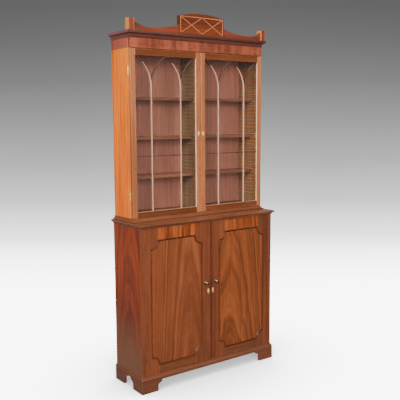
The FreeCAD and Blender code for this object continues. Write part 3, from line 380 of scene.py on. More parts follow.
# %% Figured panel recipe
def flame(name, dark, middle, pale, apex=(0.0, 0.1), steep=26.0, bands=13.0, swirl=0.05, seed=0.0,
          foot=None):
    """Nested arches: bands of q = v - apex v + steep * (u - apex u) squared + swirl * noise,
    where v runs up the grain from the board's middle and u across it; fine upright streaks
    and slow clouds are mixed in. A foot is a colour mixed in low down as a painted reflection
    of the pale floor."""
    material, tree, shader = new_material(name)
    place = timber_place(tree)
    parts = tree.nodes.new("ShaderNodeSeparateXYZ")
    tree.links.new(place, parts.inputs[0])
    along = calc(tree, "SUBTRACT", parts.outputs[0], apex[1])
    across = calc(tree, "SUBTRACT", parts.outputs[1], apex[0])
    moved = add(tree, "VectorMath", {0: place, 1: (seed, seed * 0.7, 0)}, operation="ADD")
    warp = noise(tree, moved, (3.0, 7.0, 1), detail=3, roughness=0.5, distortion=0.6)
    arches = calc(tree, "MULTIPLY_ADD", calc(tree, "MULTIPLY", across, across), steep, along)
    arches = calc(tree, "MULTIPLY_ADD", calc(tree, "SUBTRACT", warp, 0.5), swirl * 4, arches)
    bent_place = add(tree, "CombineXYZ", {0: arches, 1: seed})
    rings = noise(tree, bent_place, (bands, 1, 1), detail=4, roughness=0.6)
    streaks = noise(tree, moved, (2.0, 60, 1), detail=5, roughness=0.62, distortion=0.5)
    cloud = noise(tree, moved, (2.6, 5.0, 1), detail=2, distortion=0.4)
    share = calc(tree, "MULTIPLY_ADD", rings, 0.55, calc(tree, "MULTIPLY", streaks, 0.25))
    share = calc(tree, "MULTIPLY_ADD", cloud, 0.20, share)
    colour = ramp(tree, share, [(0.38, dark), (0.50, middle), (0.62, pale)])
    # The foot is a painted reflection of the pale floor, strongest at the bottom of the board.
    if foot:
        low_down = calc(tree, "MULTIPLY_ADD", cloud, 0.2, parts.outputs[0])
        colour = mix(tree, remap(tree, low_down, 0.0, -0.24, 0.0, 0.85), colour, foot)
    flecks = remap(tree, noise(tree, place, (22, 420, 1), detail=2), 0.36, 0.52, 0.86, 1.0)
    tone = add(tree, "CombineColor", {0: flecks, 1: flecks, 2: flecks})
    polish(tree, shader, mix(tree, 1.0, colour, tone, "MULTIPLY"), place, 0.24, coat=0.3)
    return material


def crossband(name, dark, middle, pale, length=0.052, figure=0.5, gloss=0.3):
    """Short lengths of veneer, each with its own tone: the number of the length seeds it, and
    streaks run across the board."""
    material, tree, shader = new_material(name)
    place = timber_place(tree)
    parts = tree.nodes.new("ShaderNodeSeparateXYZ")
    tree.links.new(place, parts.inputs[0])
    step = calc(tree, "FLOOR", calc(tree, "DIVIDE", parts.outputs[0], length))
    tone = add(tree, "TexWhiteNoise", {"W": step}, noise_dimensions="1D")
    upright = noise(tree, place, (45, 3, 3), detail=3, roughness=0.55)
    cloud = noise(tree, place, (16, 30, 30), detail=3, distortion=1.5)
    share = calc(tree, "MULTIPLY_ADD", cloud, figure, calc(tree, "MULTIPLY", upright, 0.75 - figure))
    share = calc(tree, "MULTIPLY_ADD", tone, 0.12, calc(tree, "ADD", share, 0.06))
    colour = ramp(tree, share, [(0.38, dark), (0.47, middle), (0.57, pale)])
    polish(tree, shader, colour, place, gloss)
    return material


FIGURED = {
    "panel_left": flame("panel_left", *tones(116, 62, 35, 0.2), apex=(0.096, 0.116), steep=55.0,
                        bands=5.0, swirl=0.06, seed=3.1),
    "panel_right": flame("panel_right", *tones(120, 63, 32, 0.27), apex=(-0.092, 0.215), steep=22.0,
                         bands=9.0, swirl=0.10, seed=7.4),
    # The lower sides fade low down to a greyer foot: a painted reflection of the floor.
    "side": flame("side_figured", *tones(120, 49, 16, 0.32), apex=(-0.02, 0.20), steep=30.0,
                  bands=6.0, swirl=0.08, seed=5.3, foot=rgb(106, 72, 48)),
    "frieze_band": crossband("frieze_band", *tones(122, 63, 44, 0.2), length=0.043, figure=0.25),
    "rail_band": crossband("rail_band", *tones(122, 60, 28, 0.3), length=0.061, figure=0.10),
}
print("figured veneers", len(FIGURED))

# %% [markdown]
# ## Metal, bone and glass
# The key plates and hinge knuckles are bright old brass, the knobs a duller brass, and the
# lower key plates are bone. Old glass is clear with a faint ripple: light goes straight
# through it and a little is mirrored, more at a slant, which a Layer Weight node gives.

# %% Small finishes
def object_place(tree):
    """Place on the object, in metres."""
    return add(tree, "TexCoord", output=3)


def metal(name, dark, bright, roughness, patina=0.5, metallic=1.0):
    """Brass or steel: a bright colour with darker patina in cloudy patches and scratches."""
    material, tree, shader = new_material(name)
    place = object_place(tree)
    cloud = noise(tree, place, (160, 160, 160), detail=5, roughness=0.65)
    colour = ramp(tree, cloud, [(patina - 0.18, dark), (patina + 0.12, bright)])
    tree.links.new(colour, shader.inputs["Base Color"])
    tree.links.new(remap(tree, cloud, 0.3, 0.7, roughness + 0.15, roughness - 0.05),
                   shader.inputs["Roughness"])
    shader.inputs["Metallic"].default_value = metallic
    bump(tree, shader, noise(tree, place, (900, 900, 200), detail=2), 0.00004)
    return material


def bone():
    """Bone or ivory-coloured inlay with brown staining in its pores."""
    material, tree, shader = new_material("bone")
    place = object_place(tree)
    stain = noise(tree, place, (260, 260, 60), detail=4)
    colour = ramp(tree, stain, [(0.30, rgb(170, 100, 44)), (0.50, rgb(240, 172, 100)),
                                (0.66, rgb(255, 208, 140))])
    tree.links.new(colour, shader.inputs["Base Color"])
    shader.inputs["Roughness"].default_value = 0.32
    shader.inputs["Subsurface Weight"].default_value = 0.08
    bump(tree, shader, stain, 0.0001)
    return material


def old_glass():
    """Clear panes: transparent, with a share of mirror of 0.035 + 0.9 * slant ^ 5, where slant
    is one minus the cosine of the viewing angle. It is the same on both faces of the pane,
    so the far face never turns into a full mirror. The ripple is a slow, shallow swell."""
    material, tree, shader = new_material("old_glass")
    ripple = noise(tree, object_place(tree), (4, 4, 2.5), detail=0)
    normal = add(tree, "Bump", {"Height": ripple, "Strength": 1.0, "Distance": 0.001})
    facing = add(tree, "LayerWeight", {"Blend": 0.5}, output=1)
    share = calc(tree, "MULTIPLY_ADD", calc(tree, "POWER", facing, 5.0), 0.9, 0.035)
    clear = add(tree, "BsdfTransparent", {"Color": (0.95, 0.965, 0.96, 1)})
    mirror = add(tree, "BsdfGlossy", {"Color": (1, 1, 1, 1), "Roughness": 0.04, "Normal": normal})
    glass = add(tree, "MixShader", {0: share, 1: clear, 2: mirror})
    tree.nodes.remove(shader)
    tree.links.new(glass, tree.nodes["Material Output"].inputs["Surface"])
    return material


BRIGHT_BRASS = metal("bright_brass", rgb(176, 120, 60), rgb(255, 226, 160), 0.26, patina=0.32,
                     metallic=0.5)
OLD_BRASS = metal("old_brass", rgb(70, 42, 26), rgb(158, 122, 98), 0.32, patina=0.46)
HINGE_BRASS = metal("hinge_brass", rgb(180, 116, 50), rgb(240, 176, 92), 0.36, patina=0.4,
                    metallic=0.6)
DARK_BRASS = metal("dark_brass", rgb(96, 46, 24), rgb(128, 68, 38), 0.5, patina=0.5,
                   metallic=0.3)
LOCK_STEEL = metal("lock_steel", rgb(60, 58, 56), rgb(150, 148, 144), 0.36)
BONE, OLD_GLASS = bone(), old_glass()
print("small finishes made")

# %% [markdown]
# ## Boards
# A flat board's shape is already right in the frame, but its arrises are knife sharp, and no
# real board's are. Each one is copied, its loose triangles are joined again solid by solid,
# flat faces are made whole, and a Bevel modifier rounds the arrises. While the solids are
# known, each writes its timber coordinates: its longest side is taken as the grain.

# %% Solids of a node
def read(collection, field, width, kind=np.float64):
    """One field of a mesh's points or triangles as an array."""
    flat = np.zeros(len(collection) * width, kind)
    collection.foreach_get(field, flat)
    return flat.reshape(-1, width)


def solids_of(node):
    """Joined points, triangles and a solid's number for each triangle. Triangles that share
    an edge are one solid: the lowest number spreads along shared edges until none changes.
    Where two boards touch, an edge has four triangles. The mesh lists the boards one after
    the other, so the first two are one board's and the next two the other's."""
    mesh = frame["nodes"][node].data
    mesh.calc_loop_triangles()
    corners = read(mesh.loop_triangles, "vertices", 3, np.int32)
    places = np.round(read(mesh.vertices, "co", 3), 6)
    points, same_place = np.unique(places, axis=0, return_inverse=True)
    triangles = same_place.reshape(-1)[corners]
    sides = np.sort(np.stack([triangles, np.roll(triangles, -1, 1)], -1), -1)
    edge = np.unique(sides.reshape(-1, 2), axis=0, return_inverse=True)[1].ravel()
    order = np.argsort(edge, kind="stable")
    ranked = edge[order]
    pair = (np.arange(len(edge)) - np.searchsorted(ranked, ranked)) // 2
    edge[order] = ranked * 4 + pair
    edge = edge.reshape(-1, 3)
    solid, before = np.arange(len(triangles)), None
    while before is None or (solid != before).any():
        before, lowest = solid, np.full(edge.max() + 1, len(triangles))
        np.minimum.at(lowest, edge.ravel(), np.repeat(solid, 3))
        solid = lowest[edge].min(1)
    return points, triangles, np.unique(solid, return_inverse=True)[1].reshape(-1)


def grain_order(low, high, grain=None):
    """The order of the axes: the grain first, then the wider of the other two."""
    size = high - low
    first = int(np.argmax(size)) if grain is None else grain
    others = sorted((axis for axis in range(3) if axis != first), key=lambda axis: -size[axis])
    return [first, *others]


def board_dice(name, number=0):
    """A shift of the timber that no other board has, and the board's tone from 0 to 1."""
    dice = np.random.default_rng(zlib.crc32(name.encode()) + number)
    return dice.uniform(1.0, 40.0, 3), dice.uniform()


def write_timber(mesh, timber, tone):
    """Stores each point's timber coordinates and its board's tone."""
    mesh.attributes.new("timber", "FLOAT_VECTOR", "POINT").data.foreach_set(
        "vector", timber.astype(np.float32).ravel())
    mesh.attributes.new("board_tone", "FLOAT", "POINT").data.foreach_set(
        "value", tone.astype(np.float32).ravel())


# %% Softened boards
def whole_faces(piece):
    """Joins flat neighbouring triangles into whole faces."""
    rework(piece, lambda work: bmesh.ops.dissolve_limit(
        work, angle_limit=math.radians(0.6), verts=work.verts, edges=work.edges))


def bevel(piece, width, worn=None, segments=2):
    """Rounds the arrises; worn is the number of the material for the new faces."""
    modifier = piece.modifiers.new("arrises", "BEVEL")
    modifier.width, modifier.segments, modifier.harden_normals = width, segments, True
    modifier.limit_method, modifier.angle_limit = "ANGLE", math.radians(35)
    modifier.use_clamp_overlap = False
    modifier.miter_outer = "MITER_ARC"
    if worn is not None:
        modifier.material = worn


def softened(node, finish, width=0.8, grain=None, centred=False):
    """A copy of a node's boards with rounded arrises; width is in millimetres. A centred
    board's timber is measured from its middle, so that a figure can be placed on it."""
    points, triangles, solid = solids_of(node)
    pairs, corners = np.unique(np.stack([triangles.ravel(), np.repeat(solid, 3)], 1), axis=0,
                               return_inverse=True)
    points, owner = points[pairs[:, 0]], pairs[:, 1]
    timber, tone = np.zeros_like(points), np.zeros(len(points))
    for number in range(solid.max() + 1):
        mine = owner == number
        low, high = points[mine].min(0), points[mine].max(0)
        shift, tone[mine] = board_dice(node, number)
        origin = (low + high) / 2 if centred else -shift
        timber[mine] = (points[mine] - origin)[:, grain_order(low, high, grain)]
    piece = new_object(node + "_wood", points, corners.reshape(-1, 3).tolist())
    write_timber(piece.data, timber, tone)
    whole_faces(piece)
    for material in FINISHES[finish] if isinstance(finish, str) else finish:
        piece.data.materials.append(material)
    bevel(piece, width * MM, worn=len(piece.data.materials) - 1)
    return dress(piece, node)


def body_of_node(node):
    """The body that a CAD node rides on."""
    bodies = frame["record"]["behaviour"]["bodies"]
    return next(name for name, nodes in bodies.items() if node in nodes)


def dress(piece, node):
    """The piece stands for the node and rides with it."""
    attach(piece, body_of_node(node))
    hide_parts(node)
    return piece


# %% [markdown]
# ## The carcases
# The cases are boards in a few finishes: golden sides above, red figured sides below, and
# plainer timber inside. A side is one board with two faces, so the faces that look inwards
# get the inside finish, and so do the walls of the grooves that hold the shelves.

# %% Plinth and carcases
def paint(piece, material, chosen):
    """Gives a material to the faces that chosen picks by their centre and normal."""
    piece.data.materials.append(material)
    number = len(piece.data.materials) - 1
    for face in piece.data.polygons:
        if chosen(face.center, face.normal):
            face.material_index = number


def split_level(piece, level):
    """Divides the faces of a piece along a level line."""
    rework(piece, lambda work: bmesh.ops.bisect_plane(
        work, geom=work.verts[:] + work.edges[:] + work.faces[:], plane_co=(0, 0, level),
        plane_no=(0, 0, 1)))


FRIEZE_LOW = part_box("frieze")[0]
# Level faces further than this from a side's two ends are walls of its shelf grooves.
BOARD_END = 4 * MM
LOWER_SIDE = [FIGURED["side"], FINISHES["cupboard_stile"][1]]
for node in ("plinth_front", "plinth_side_brackets"):
    softened(node, "plinth", 1.6)
for node in ("plinth_rear_rail", "plinth_glue_blocks", "lower_bottom_board", "lower_top_board",
             "lower_back_panel", "lower_shelf_battens", "upper_bottom_board", "upper_top_board"):
    softened(node, "carcase", 0.8)
for story, finish in (("upper", "side_golden"), ("lower", LOWER_SIDE)):
    for side, word in ((-1, "left"), (1, "right")):
        board_name = "%s_%s_side" % (story, word)
        board = softened(board_name, finish, 0.9, grain=2, centred=story == "lower")
        if story == "upper":
            split_level(board, FRIEZE_LOW.z)
            paint(board, FINISHES["frieze_end"][0],
                  lambda centre, normal: normal.x * side > 0.5 and centre.z > FRIEZE_LOW.z)
        else:
            paint(board, FINISHES["cupboard_stile"][0], lambda centre, normal: normal.y < -0.5)
        low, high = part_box(board_name)
        paint(board, FINISHES["inside"][0],
              lambda centre, normal: normal.x * side < -0.5
              or abs(normal.z) > 0.3 and low.z + BOARD_END < centre.z < high.z - BOARD_END)
softened("centre_partition", "inside", 0.8, grain=2)
softened("upper_back_panel", "inside_back", 0.8, grain=2)
print("carcase boards made")

# %% [markdown]
# ## Mouldings
# A moulding is a profile carried along a path. At a corner the profile is stretched along
# the mitre, so each straight run keeps its width. Points of the profile are pairs: how far
# out from the face, and how high.

# %% Carried profiles
def arc(start, end, bulge, steps=10):
    """Points on the circular arc from start to end; bulge is the arc's height over its
    chord, positive to the left."""
    start, end = np.array(start, float), np.array(end, float)
    chord = end - start
    half = np.hypot(*chord) / 2
    radius = (half ** 2 + bulge ** 2) / (2 * bulge)
    left = np.array([-chord[1], chord[0]]) / (2 * half)
    centre = (start + end) / 2 + left * (bulge - radius)
    first = math.atan2(*(start - centre)[::-1])
    sweep = -4 * math.atan(bulge / half)
    turn = first + sweep * np.linspace(0, 1, steps)
    return centre + abs(radius) * np.stack([np.cos(turn), np.sin(turn)], 1)


def profile(*parts):
    """One closed outline from points and arcs, in millimetres, returned in metres."""
    return np.concatenate([np.atleast_2d(np.array(part, float)) for part in parts]) * MM


def mitres(path, closed=False):
    """Left-hand side directions of a flat path. At a corner it is the bisector of both runs'
    normals, stretched so that its share along each normal is one."""
    ahead = np.roll(path, -1, 0) - path
    ahead /= np.linalg.norm(ahead, axis=1, keepdims=True)
    behind = np.roll(ahead, 1, 0)
    if not closed:
        ahead[-1], behind[0] = behind[-1], ahead[0]
    total = np.stack([-ahead[:, 1], ahead[:, 0]], 1) + np.stack([-behind[:, 1], behind[:, 0]], 1)
    return total * 2 / (total ** 2).sum(1, keepdims=True)


def carried(name, spine, aside, up, outline, closed=False, smooth_angle=35):
    """A grid of spine point by outline point: spine + first * aside + second * up. Open
    ends are closed by one face each, and timber runs along the spine."""
    spine, aside, up = (np.asarray(a, float) for a in (spine, aside, up))
    points = (spine[:, None] + outline[None, :, :1] * aside[:, None]
              + outline[None, :, 1:] * np.broadcast_to(up, spine.shape)[:, None])
    rows, columns = points.shape[:2]
    faces = grid_faces(rows, columns, around_rows=closed, around_columns=True)
    if not closed:
        faces += [list(range(columns))[::-1], list(range((rows - 1) * columns, rows * columns))]
    piece = new_object(name, points, faces, smooth_angle)
    steps = np.linalg.norm(np.diff(spine, axis=0), axis=1)
    along = np.concatenate([[0], np.cumsum(steps)])
    shift, tone = board_dice(name)
    timber = np.zeros_like(points)
    timber[..., 0] = along[:, None]
    timber[..., 1:] = outline[None]
    write_timber(piece.data, timber.reshape(-1, 3) + shift, np.full(rows * columns, tone))
    outward(piece)
    return piece


# %% Waist, base and cornice
def round_the_case(name, outline, half, front, back, finish):
    """A moulding along the left side, the front and the right side; front and back are y."""
    path = np.array([(half, back), (half, front), (-half, front), (-half, back)])
    spine = np.column_stack([path, np.zeros(len(path))])
    aside = np.column_stack([mitres(path), np.zeros(len(path))])
    piece = carried(name + "_run", spine, aside, (0, 0, 1), outline)
    piece.data.materials.append(FINISHES[finish][0])
    return dress(piece, name)


LOWER_LOW, LOWER_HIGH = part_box("lower_left_side")
UPPER_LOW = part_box("upper_left_side")[0]
WAIST_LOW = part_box("waist_moulding")[0]
BASE_LOW, BASE_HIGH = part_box("upper_base_moulding")
CORNICE_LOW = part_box("cornice")[0]
DOOR_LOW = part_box("upper_left_door_frame")[0]

waist = profile((-100, 0), (2.5, 0), arc((3, 0), (14, 11), 2.6), (15.5, 11.5), (15.5, 13),
                arc((17, 14), (11, 24), -2.6), (-100, 24))
base = profile((-36, 0), (11, 0), (11, 2), arc((15, 2.2), (15, 5), -1.4, 6), (13, 5.6),
               arc((12.5, 6.5), (1.5, 20), 3.4), (0.4, 22), (-36, 22))
cornice = profile((-18, 0), (0.5, 0), arc((2, 0.6), (2, 4.6), -2.0), (0.8, 5.2),
                  arc((1.2, 6), (18, 24), 4.6), (19.6, 24.4), (19.6, 25), (21, 25),
                  arc((21, 36), (18, 39), -1.2, 5), (-18, 39))
for name, outline, half, front, low, finish in (
        ("waist_moulding", waist, -LOWER_LOW.x, LOWER_LOW.y, WAIST_LOW.z, "waist"),
        ("upper_base_moulding", base, -UPPER_LOW.x, DOOR_LOW.y, BASE_LOW.z, "waist"),
        ("cornice", cornice, -UPPER_LOW.x, DOOR_LOW.y, CORNICE_LOW.z, "cornice")):
    run = round_the_case(name, outline + (0, low), half, front, LOWER_HIGH.y, finish)
# The cornice's downward faces get a paler copy against their shade, and its side runs another paler
# copy: both painted light.
paint(run, FINISHES["cornice_hollow"][0], lambda centre, normal: normal.z < -0.15)
paint(run, FINISHES["cornice_end"][0], lambda centre, normal: abs(normal.x) > 0.3)
print("mouldings made")

# %% [markdown]
# ## Frieze and crest
# The frieze is crossbanded along the front. Over the cornice stand two small blocks, an
# arched tablet between them and two wings that sweep down from it. The boards of the crest
# have curved tops, so each is a row of upright sections along x. Light lines of stringing
# are let into the tablet and the blocks.

# %% Frieze
frieze = softened("frieze", "crest", 0.7)
paint(frieze, FIGURED["frieze_band"], lambda centre, normal: normal.y < -0.5)

# %% Curved boards
TABLET_LOW, TABLET_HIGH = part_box("crest_tablet")
WINGS_LOW, WINGS_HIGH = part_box("crest_wings")
BLOCKS_LOW, BLOCKS_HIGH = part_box("crest_corner_blocks")
TABLET_RISE, EDGE = 19 * MM, 1.2 * MM


def curved_board(name, finish, x, top, floor, front, back):
    """A board from x to x with a curved top edge: each section is a rectangle whose two
    upper corners are rounded, so a point's height is the floor or hangs from the top."""
    turn = np.linspace(0, math.pi / 2, 4)
    y = np.concatenate([[back, front], front + EDGE * (1 - np.cos(turn)),
                        back - EDGE * (1 - np.cos(turn[::-1]))])
    drop = np.concatenate([EDGE * (1 - np.sin(turn)), EDGE * (1 - np.sin(turn[::-1]))])
    z = np.concatenate([np.full((len(x), 2), floor), top[:, None] - drop[None]], 1)
    points = np.stack(np.broadcast_arrays(x[:, None], y[None], z), -1)
    rows, columns = points.shape[:2]
    faces = grid_faces(rows, columns, around_columns=True)
    faces += [list(range(columns)), list(range((rows - 1) * columns, rows * columns))]
    piece = new_object(name, points, faces)
    shift, tone = board_dice(name)
    write_timber(piece.data, points.reshape(-1, 3) + shift, np.full(rows * columns, tone))
    outward(piece)
    for material in FINISHES[finish]:
        piece.data.materials.append(material)
    return piece


def hollow_top(x, knots, radii):
    """Heights over x of two hollow arcs that meet: each passes through its two end points."""
    heights = np.zeros_like(x)
    for (x0, z0), (x1, z1), radius in zip(knots[:-1], knots[1:], radii):
        chord = np.array([x1 - x0, z1 - z0])
        half = np.hypot(*chord) / 2
        up = np.array([-chord[1], chord[0]]) / (2 * half) * np.sign(chord[0])
        centre = np.array([x0 + x1, z0 + z1]) / 2 + up * math.sqrt(radius ** 2 - half ** 2)
        inside = (x >= min(x0, x1)) & (x <= max(x0, x1))
        heights[inside] = centre[1] - np.sqrt(radius ** 2 - (x[inside] - centre[0]) ** 2)
    return heights


tablet_x = np.linspace(TABLET_LOW.x, TABLET_HIGH.x, 41)
tablet_radius = (TABLET_HIGH.x ** 2 + TABLET_RISE ** 2) / (2 * TABLET_RISE)
tablet_top = TABLET_HIGH.z - tablet_radius + np.sqrt(tablet_radius ** 2 - tablet_x ** 2)
tablet = curved_board("crest_tablet_board", "tablet", tablet_x, tablet_top, TABLET_LOW.z,
                      TABLET_LOW.y, TABLET_HIGH.y)
dress(tablet, "crest_tablet")
# Place along x, and height over the cornice in millimetres: outer end, low point, inner end.
WING_KNOTS = ((WINGS_HIGH.x, 52), (WINGS_HIGH.x - 92 * MM, 22), (TABLET_HIGH.x, 53))
WING_RADII = (0.175, 0.680)
wing_x = np.linspace(TABLET_HIGH.x, WINGS_HIGH.x, 41)
knots = [(x, WINGS_LOW.z + z * MM) for x, z in WING_KNOTS]
wing_top = hollow_top(wing_x, knots, WING_RADII)
wings = [curved_board("crest_wing_" + word, "crest", wing_x * side, wing_top, WINGS_LOW.z,
                      WINGS_LOW.y, WINGS_HIGH.y) for side, word in ((-1, "left"), (1, "right"))]
dress(wings[0], "crest_wings")
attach(wings[1], "root")
blocks = softened("crest_corner_blocks", "crest", 1.0, grain=2)
# The blocks' left faces are painted paler: painted light where they face the left lamp.
paint(blocks, FINISHES["block_side"][0], lambda centre, normal: normal.x < -0.5)
print("crest boards made")

# %% [markdown]
# The stringing is boxwood, a few millimetres wide. Each line is a flat strip with eased
# edges. Two zigzags cross on the tablet inside a frame of three lines. Each block has a line
# along both sides of its front; the left block's outer one lies in shade at the corner, so it
# is painted with the crest's paler edge finish, as painted shade that hides the line.

# %% Stringing
STRING_WIDTH, STRING_PROUD, STRING_DEEP = 3.6 * MM, 0.25 * MM, 0.6 * MM
STRING_MARGIN, BLOCK_WIDTH, BLOCK_SHADED_REACH = 8.0 * MM, 34 * MM, 6 * MM


def strip(name, start, end, front):
    """A straight strip between two points of an upright plane at y = front."""
    path = np.array([start, end], float)
    side = mitres(path)
    half = STRING_WIDTH / 2
    outline = np.array([(-half, STRING_DEEP), (half, STRING_DEEP), (half, -STRING_PROUD * 0.3),
                        (half * 0.8, -STRING_PROUD), (-half * 0.8, -STRING_PROUD),
                        (-half, -STRING_PROUD * 0.3)])
    spine = np.column_stack([path[:, 0], np.full(2, front), path[:, 1]])
    aside = np.column_stack([side[:, 0], np.zeros(2), side[:, 1]])
    return carried(name, spine, aside, (0, 1, 0), outline)


def joined(name, parts):
    """Several meshes as one object."""
    work = bmesh.new()
    for part in parts:
        work.from_mesh(part.data)
    mesh = bpy.data.meshes.new(name)
    work.to_mesh(mesh)
    work.free()
    mesh.set_sharp_from_angle(angle=math.radians(35))
    made = bpy.data.objects.new(name, mesh)
    bpy.context.scene.collection.objects.link(made)
    for part in parts:
        bpy.data.objects.remove(part)
    return made


side_x = TABLET_HIGH.x - STRING_MARGIN
low_z, high_z = TABLET_LOW.z + STRING_MARGIN, TABLET_HIGH.z - TABLET_RISE - STRING_MARGIN / 2
lines = [((-side_x, high_z), (side_x, high_z))]
for side in (-1, 1):
    lines += [((side * side_x, low_z), (side * side_x, high_z)),
              ((side * side_x, high_z), (0, low_z)), ((side * side_x, low_z), (0, high_z))]
    for edge in (BLOCKS_HIGH.x, BLOCKS_HIGH.x - BLOCK_WIDTH + STRING_WIDTH):
        x = side * (edge - STRING_WIDTH / 2)
        lines.append(((x, BLOCKS_LOW.z), (x, BLOCKS_HIGH.z - 0.5 * MM)))
stringing = joined("crest_stringing_lines", [strip("string_%d" % number, *line, TABLET_LOW.y)
                                             for number, line in enumerate(lines)])
FINISHES["string"] = with_worn_edge(mahogany, "string", rgb(150, 84, 52), rgb(180, 108, 70),
                                    rgb(204, 136, 92), gloss=0.34)
stringing.data.materials.append(FINISHES["string"][0])
# The left block's outer line is painted shade, in the crest's paler edge finish.
paint(stringing, FINISHES["crest"][1],
      lambda centre, normal: centre.x < -BLOCKS_HIGH.x + BLOCK_SHADED_REACH)
dress(stringing, "crest_stringing")
print("stringing", len(lines), "lines")

# %% [markdown]
# ## The glazed doors
# Each door is a frame of two stiles and two rails. Slender astragal bars stand in front of
# one pane: an upright forks at its top into two quarter arches, and neighbouring arches meet
# in a point under the top rail. The bars are a profile with a round nose, carried up the
# upright and round the arch.

# %% Glazing bars
BAR_SPACING, ARCH_HEIGHT, BAR_HALF = 205 * MM, 174 * MM, 3 * MM
JOINT_RISE, BOTTOM_RAIL = 360 * MM, 34 * MM


def bar_profile():
    """A flat fillet against the glass and a slim round nose in front, 12 mm deep."""
    return profile((-3, 0), (3, 0), (3, 2.4), (1.8, 3.2), (1.8, 9.2),
                   arc((2.1, 9.8), (-2.1, 9.8), -2.1, 9), (-1.8, 9.2), (-1.8, 3.2), (-3, 2.4))


def bar_path(x, lean, bottom, top):
    """A quarter arch that leans to one side: an arc whose centre lies level with the spring,
    out to that side. The one that leans left starts with the upright that both share."""
    radius = ((BAR_SPACING / 2) ** 2 + ARCH_HEIGHT ** 2) / BAR_SPACING
    reach = math.asin(ARCH_HEIGHT / radius)
    turn = np.linspace(0, reach, 20)
    arch_x = x + lean * radius * (1 - np.cos(turn))
    arch_z = top - ARCH_HEIGHT + radius * np.sin(turn)
    arch = np.stack([arch_x, arch_z], 1)
    return np.concatenate([[(x, bottom)], arch]) if lean < 0 else arch


def on_door(name, path, outline, y, closed=False):
    """Carries an outline along a path that lies in an upright plane at y."""
    side = mitres(path, closed)
    spine = np.column_stack([path[:, 0], np.full(len(path), y), path[:, 1]])
    aside = np.column_stack([side[:, 0], np.zeros(len(path)), side[:, 1]])
    return carried(name, spine, aside, (0, -1, 0), outline, closed)


def glazing_bars(word):
    """The two forked bars and the thin bar over the joint of the panes."""
    low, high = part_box("upper_%s_door_glazing_bars" % word)
    middle = (low.x + high.x) / 2
    parts = []
    for step in (-0.5, 0.5):
        x = middle + step * BAR_SPACING
        for lean in (-1, 1):
            path = bar_path(x, lean, low.z, high.z)
            inside = (path[:, 0] > low.x - BAR_HALF) & (path[:, 0] < high.x + BAR_HALF)
            parts.append(on_door("bar", path[inside], bar_profile(), high.y))
    joint = low.z - (DOOR_LOW.z + BOTTOM_RAIL) + BASE_HIGH.z + JOINT_RISE
    slim = profile((-2, 0), (2, 0), (2, 3.5), arc((1.6, 4.5), (-1.6, 4.5), -1.4, 7), (-2, 3.5))
    parts.append(on_door("joint", np.array([(low.x, joint), (high.x, joint)]), slim, high.y))
    bars = joined("upper_%s_door_bars" % word, parts)
    bars.data.materials.append(FINISHES["cornice"][0])
    # Faces of the bars that look left and not upward get a painted highlight.
    paint(bars, FINISHES["reveal"][0], lambda centre, normal: normal.x < -0.7 and normal.z < 0.1)
    return dress(bars, "upper_%s_door_glazing_bars" % word)


def glazed_door(word):
    """Frame, bars and pane of one door."""
    door = softened("upper_%s_door_frame" % word, "door_stile", 1.0)
    low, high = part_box("upper_%s_door_glazing_bars" % word)
    paint(door, FINISHES["door_rail"][0], lambda centre, normal: not low.z < centre.z < high.z)
    # Faces of the opening that look left, and the top of the bottom rail at the pane's foot, get a
    # painted highlight.
    paint(door, FINISHES["reveal"][0],
          lambda centre, normal: normal.x < -0.5 and low.x < centre.x < high.x + MM)
    paint(door, FINISHES["reveal"][0],
          lambda centre, normal: normal.z > 0.5 and abs(centre.z - low.z) < 3 * MM)
    glazing_bars(word)
    pane = frame["nodes"]["upper_%s_door_glass" % word]
    pane.data.materials.clear()
    pane.data.materials.append(OLD_GLASS)


for word in ("left", "right"):
    glazed_door(word)
print("glazed doors made")

# %% Meeting beads
def meeting_bead(node, finish):
    """A half-round bead with a fillet each side, upright along the door's edge."""
    low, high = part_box(node)
    width, proud = (high.x - low.x) / MM, (high.y - low.y) / MM
    outline = profile((0, 0), (0, 1.0), (1, 1.2), arc((1.4, 1.4), (width - 1.4, 1.4), proud - 1.4, 9),
                      (width - 1, 1.2), (width, 1.0), (width, 0))
    spine = np.array([(low.x, high.y, low.z), (low.x, high.y, high.z)])
    bead = carried(node + "_run", spine, np.tile((1.0, 0, 0), (2, 1)), (0, -1, 0), outline)
    bead.data.materials.append(FINISHES[finish][0])
    return dress(bead, node)


for story, finish in (("upper", "door_stile"), ("lower", "moulding")):
    meeting_bead(story + "_meeting_bead", finish)
print("meeting beads made")

# %% [markdown]
# ## The panelled doors
# A figured panel sits in each lower door, a little behind the frame, with hollow corners. A
# fine moulding follows its outline: straight runs, a short step at each corner and a hollow
# quarter round between the steps. The top rail is crossbanded.

# %% Panel moulding
CORNER_RADIUS, CORNER_STEP, MOULDING_HALF = 42 * MM, 8 * MM, 4.5 * MM
# A face of the door's frame belongs to a rail if its centre is past the panel, less this.
RAIL_MARGIN = 10 * MM


def hollow_corners(low, high, inset):
    """Outline of a rectangle with hollow corners, all moved in by an inset. A quarter round
    about a centre one step inside the corner joins two short steps."""
    radius = CORNER_RADIUS + inset
    turn = np.linspace(0, math.pi / 2, 14)
    points = []
    for x, z, across, up in ((low[0], low[1], 1, 1), (high[0], low[1], -1, 1),
                             (high[0], high[1], -1, -1), (low[0], high[1], 1, -1)):
        centre_x, centre_z = x + across * CORNER_STEP, z + up * CORNER_STEP
        hollow = np.stack([centre_x + across * radius * np.sin(turn),
                           centre_z + up * radius * np.cos(turn)], 1)
        steps = [(x + across * inset, centre_z + up * radius), *hollow.tolist(),
                 (centre_x + across * radius, z + up * inset)]
        points += steps if across * up > 0 else steps[::-1]
    return np.array(points)


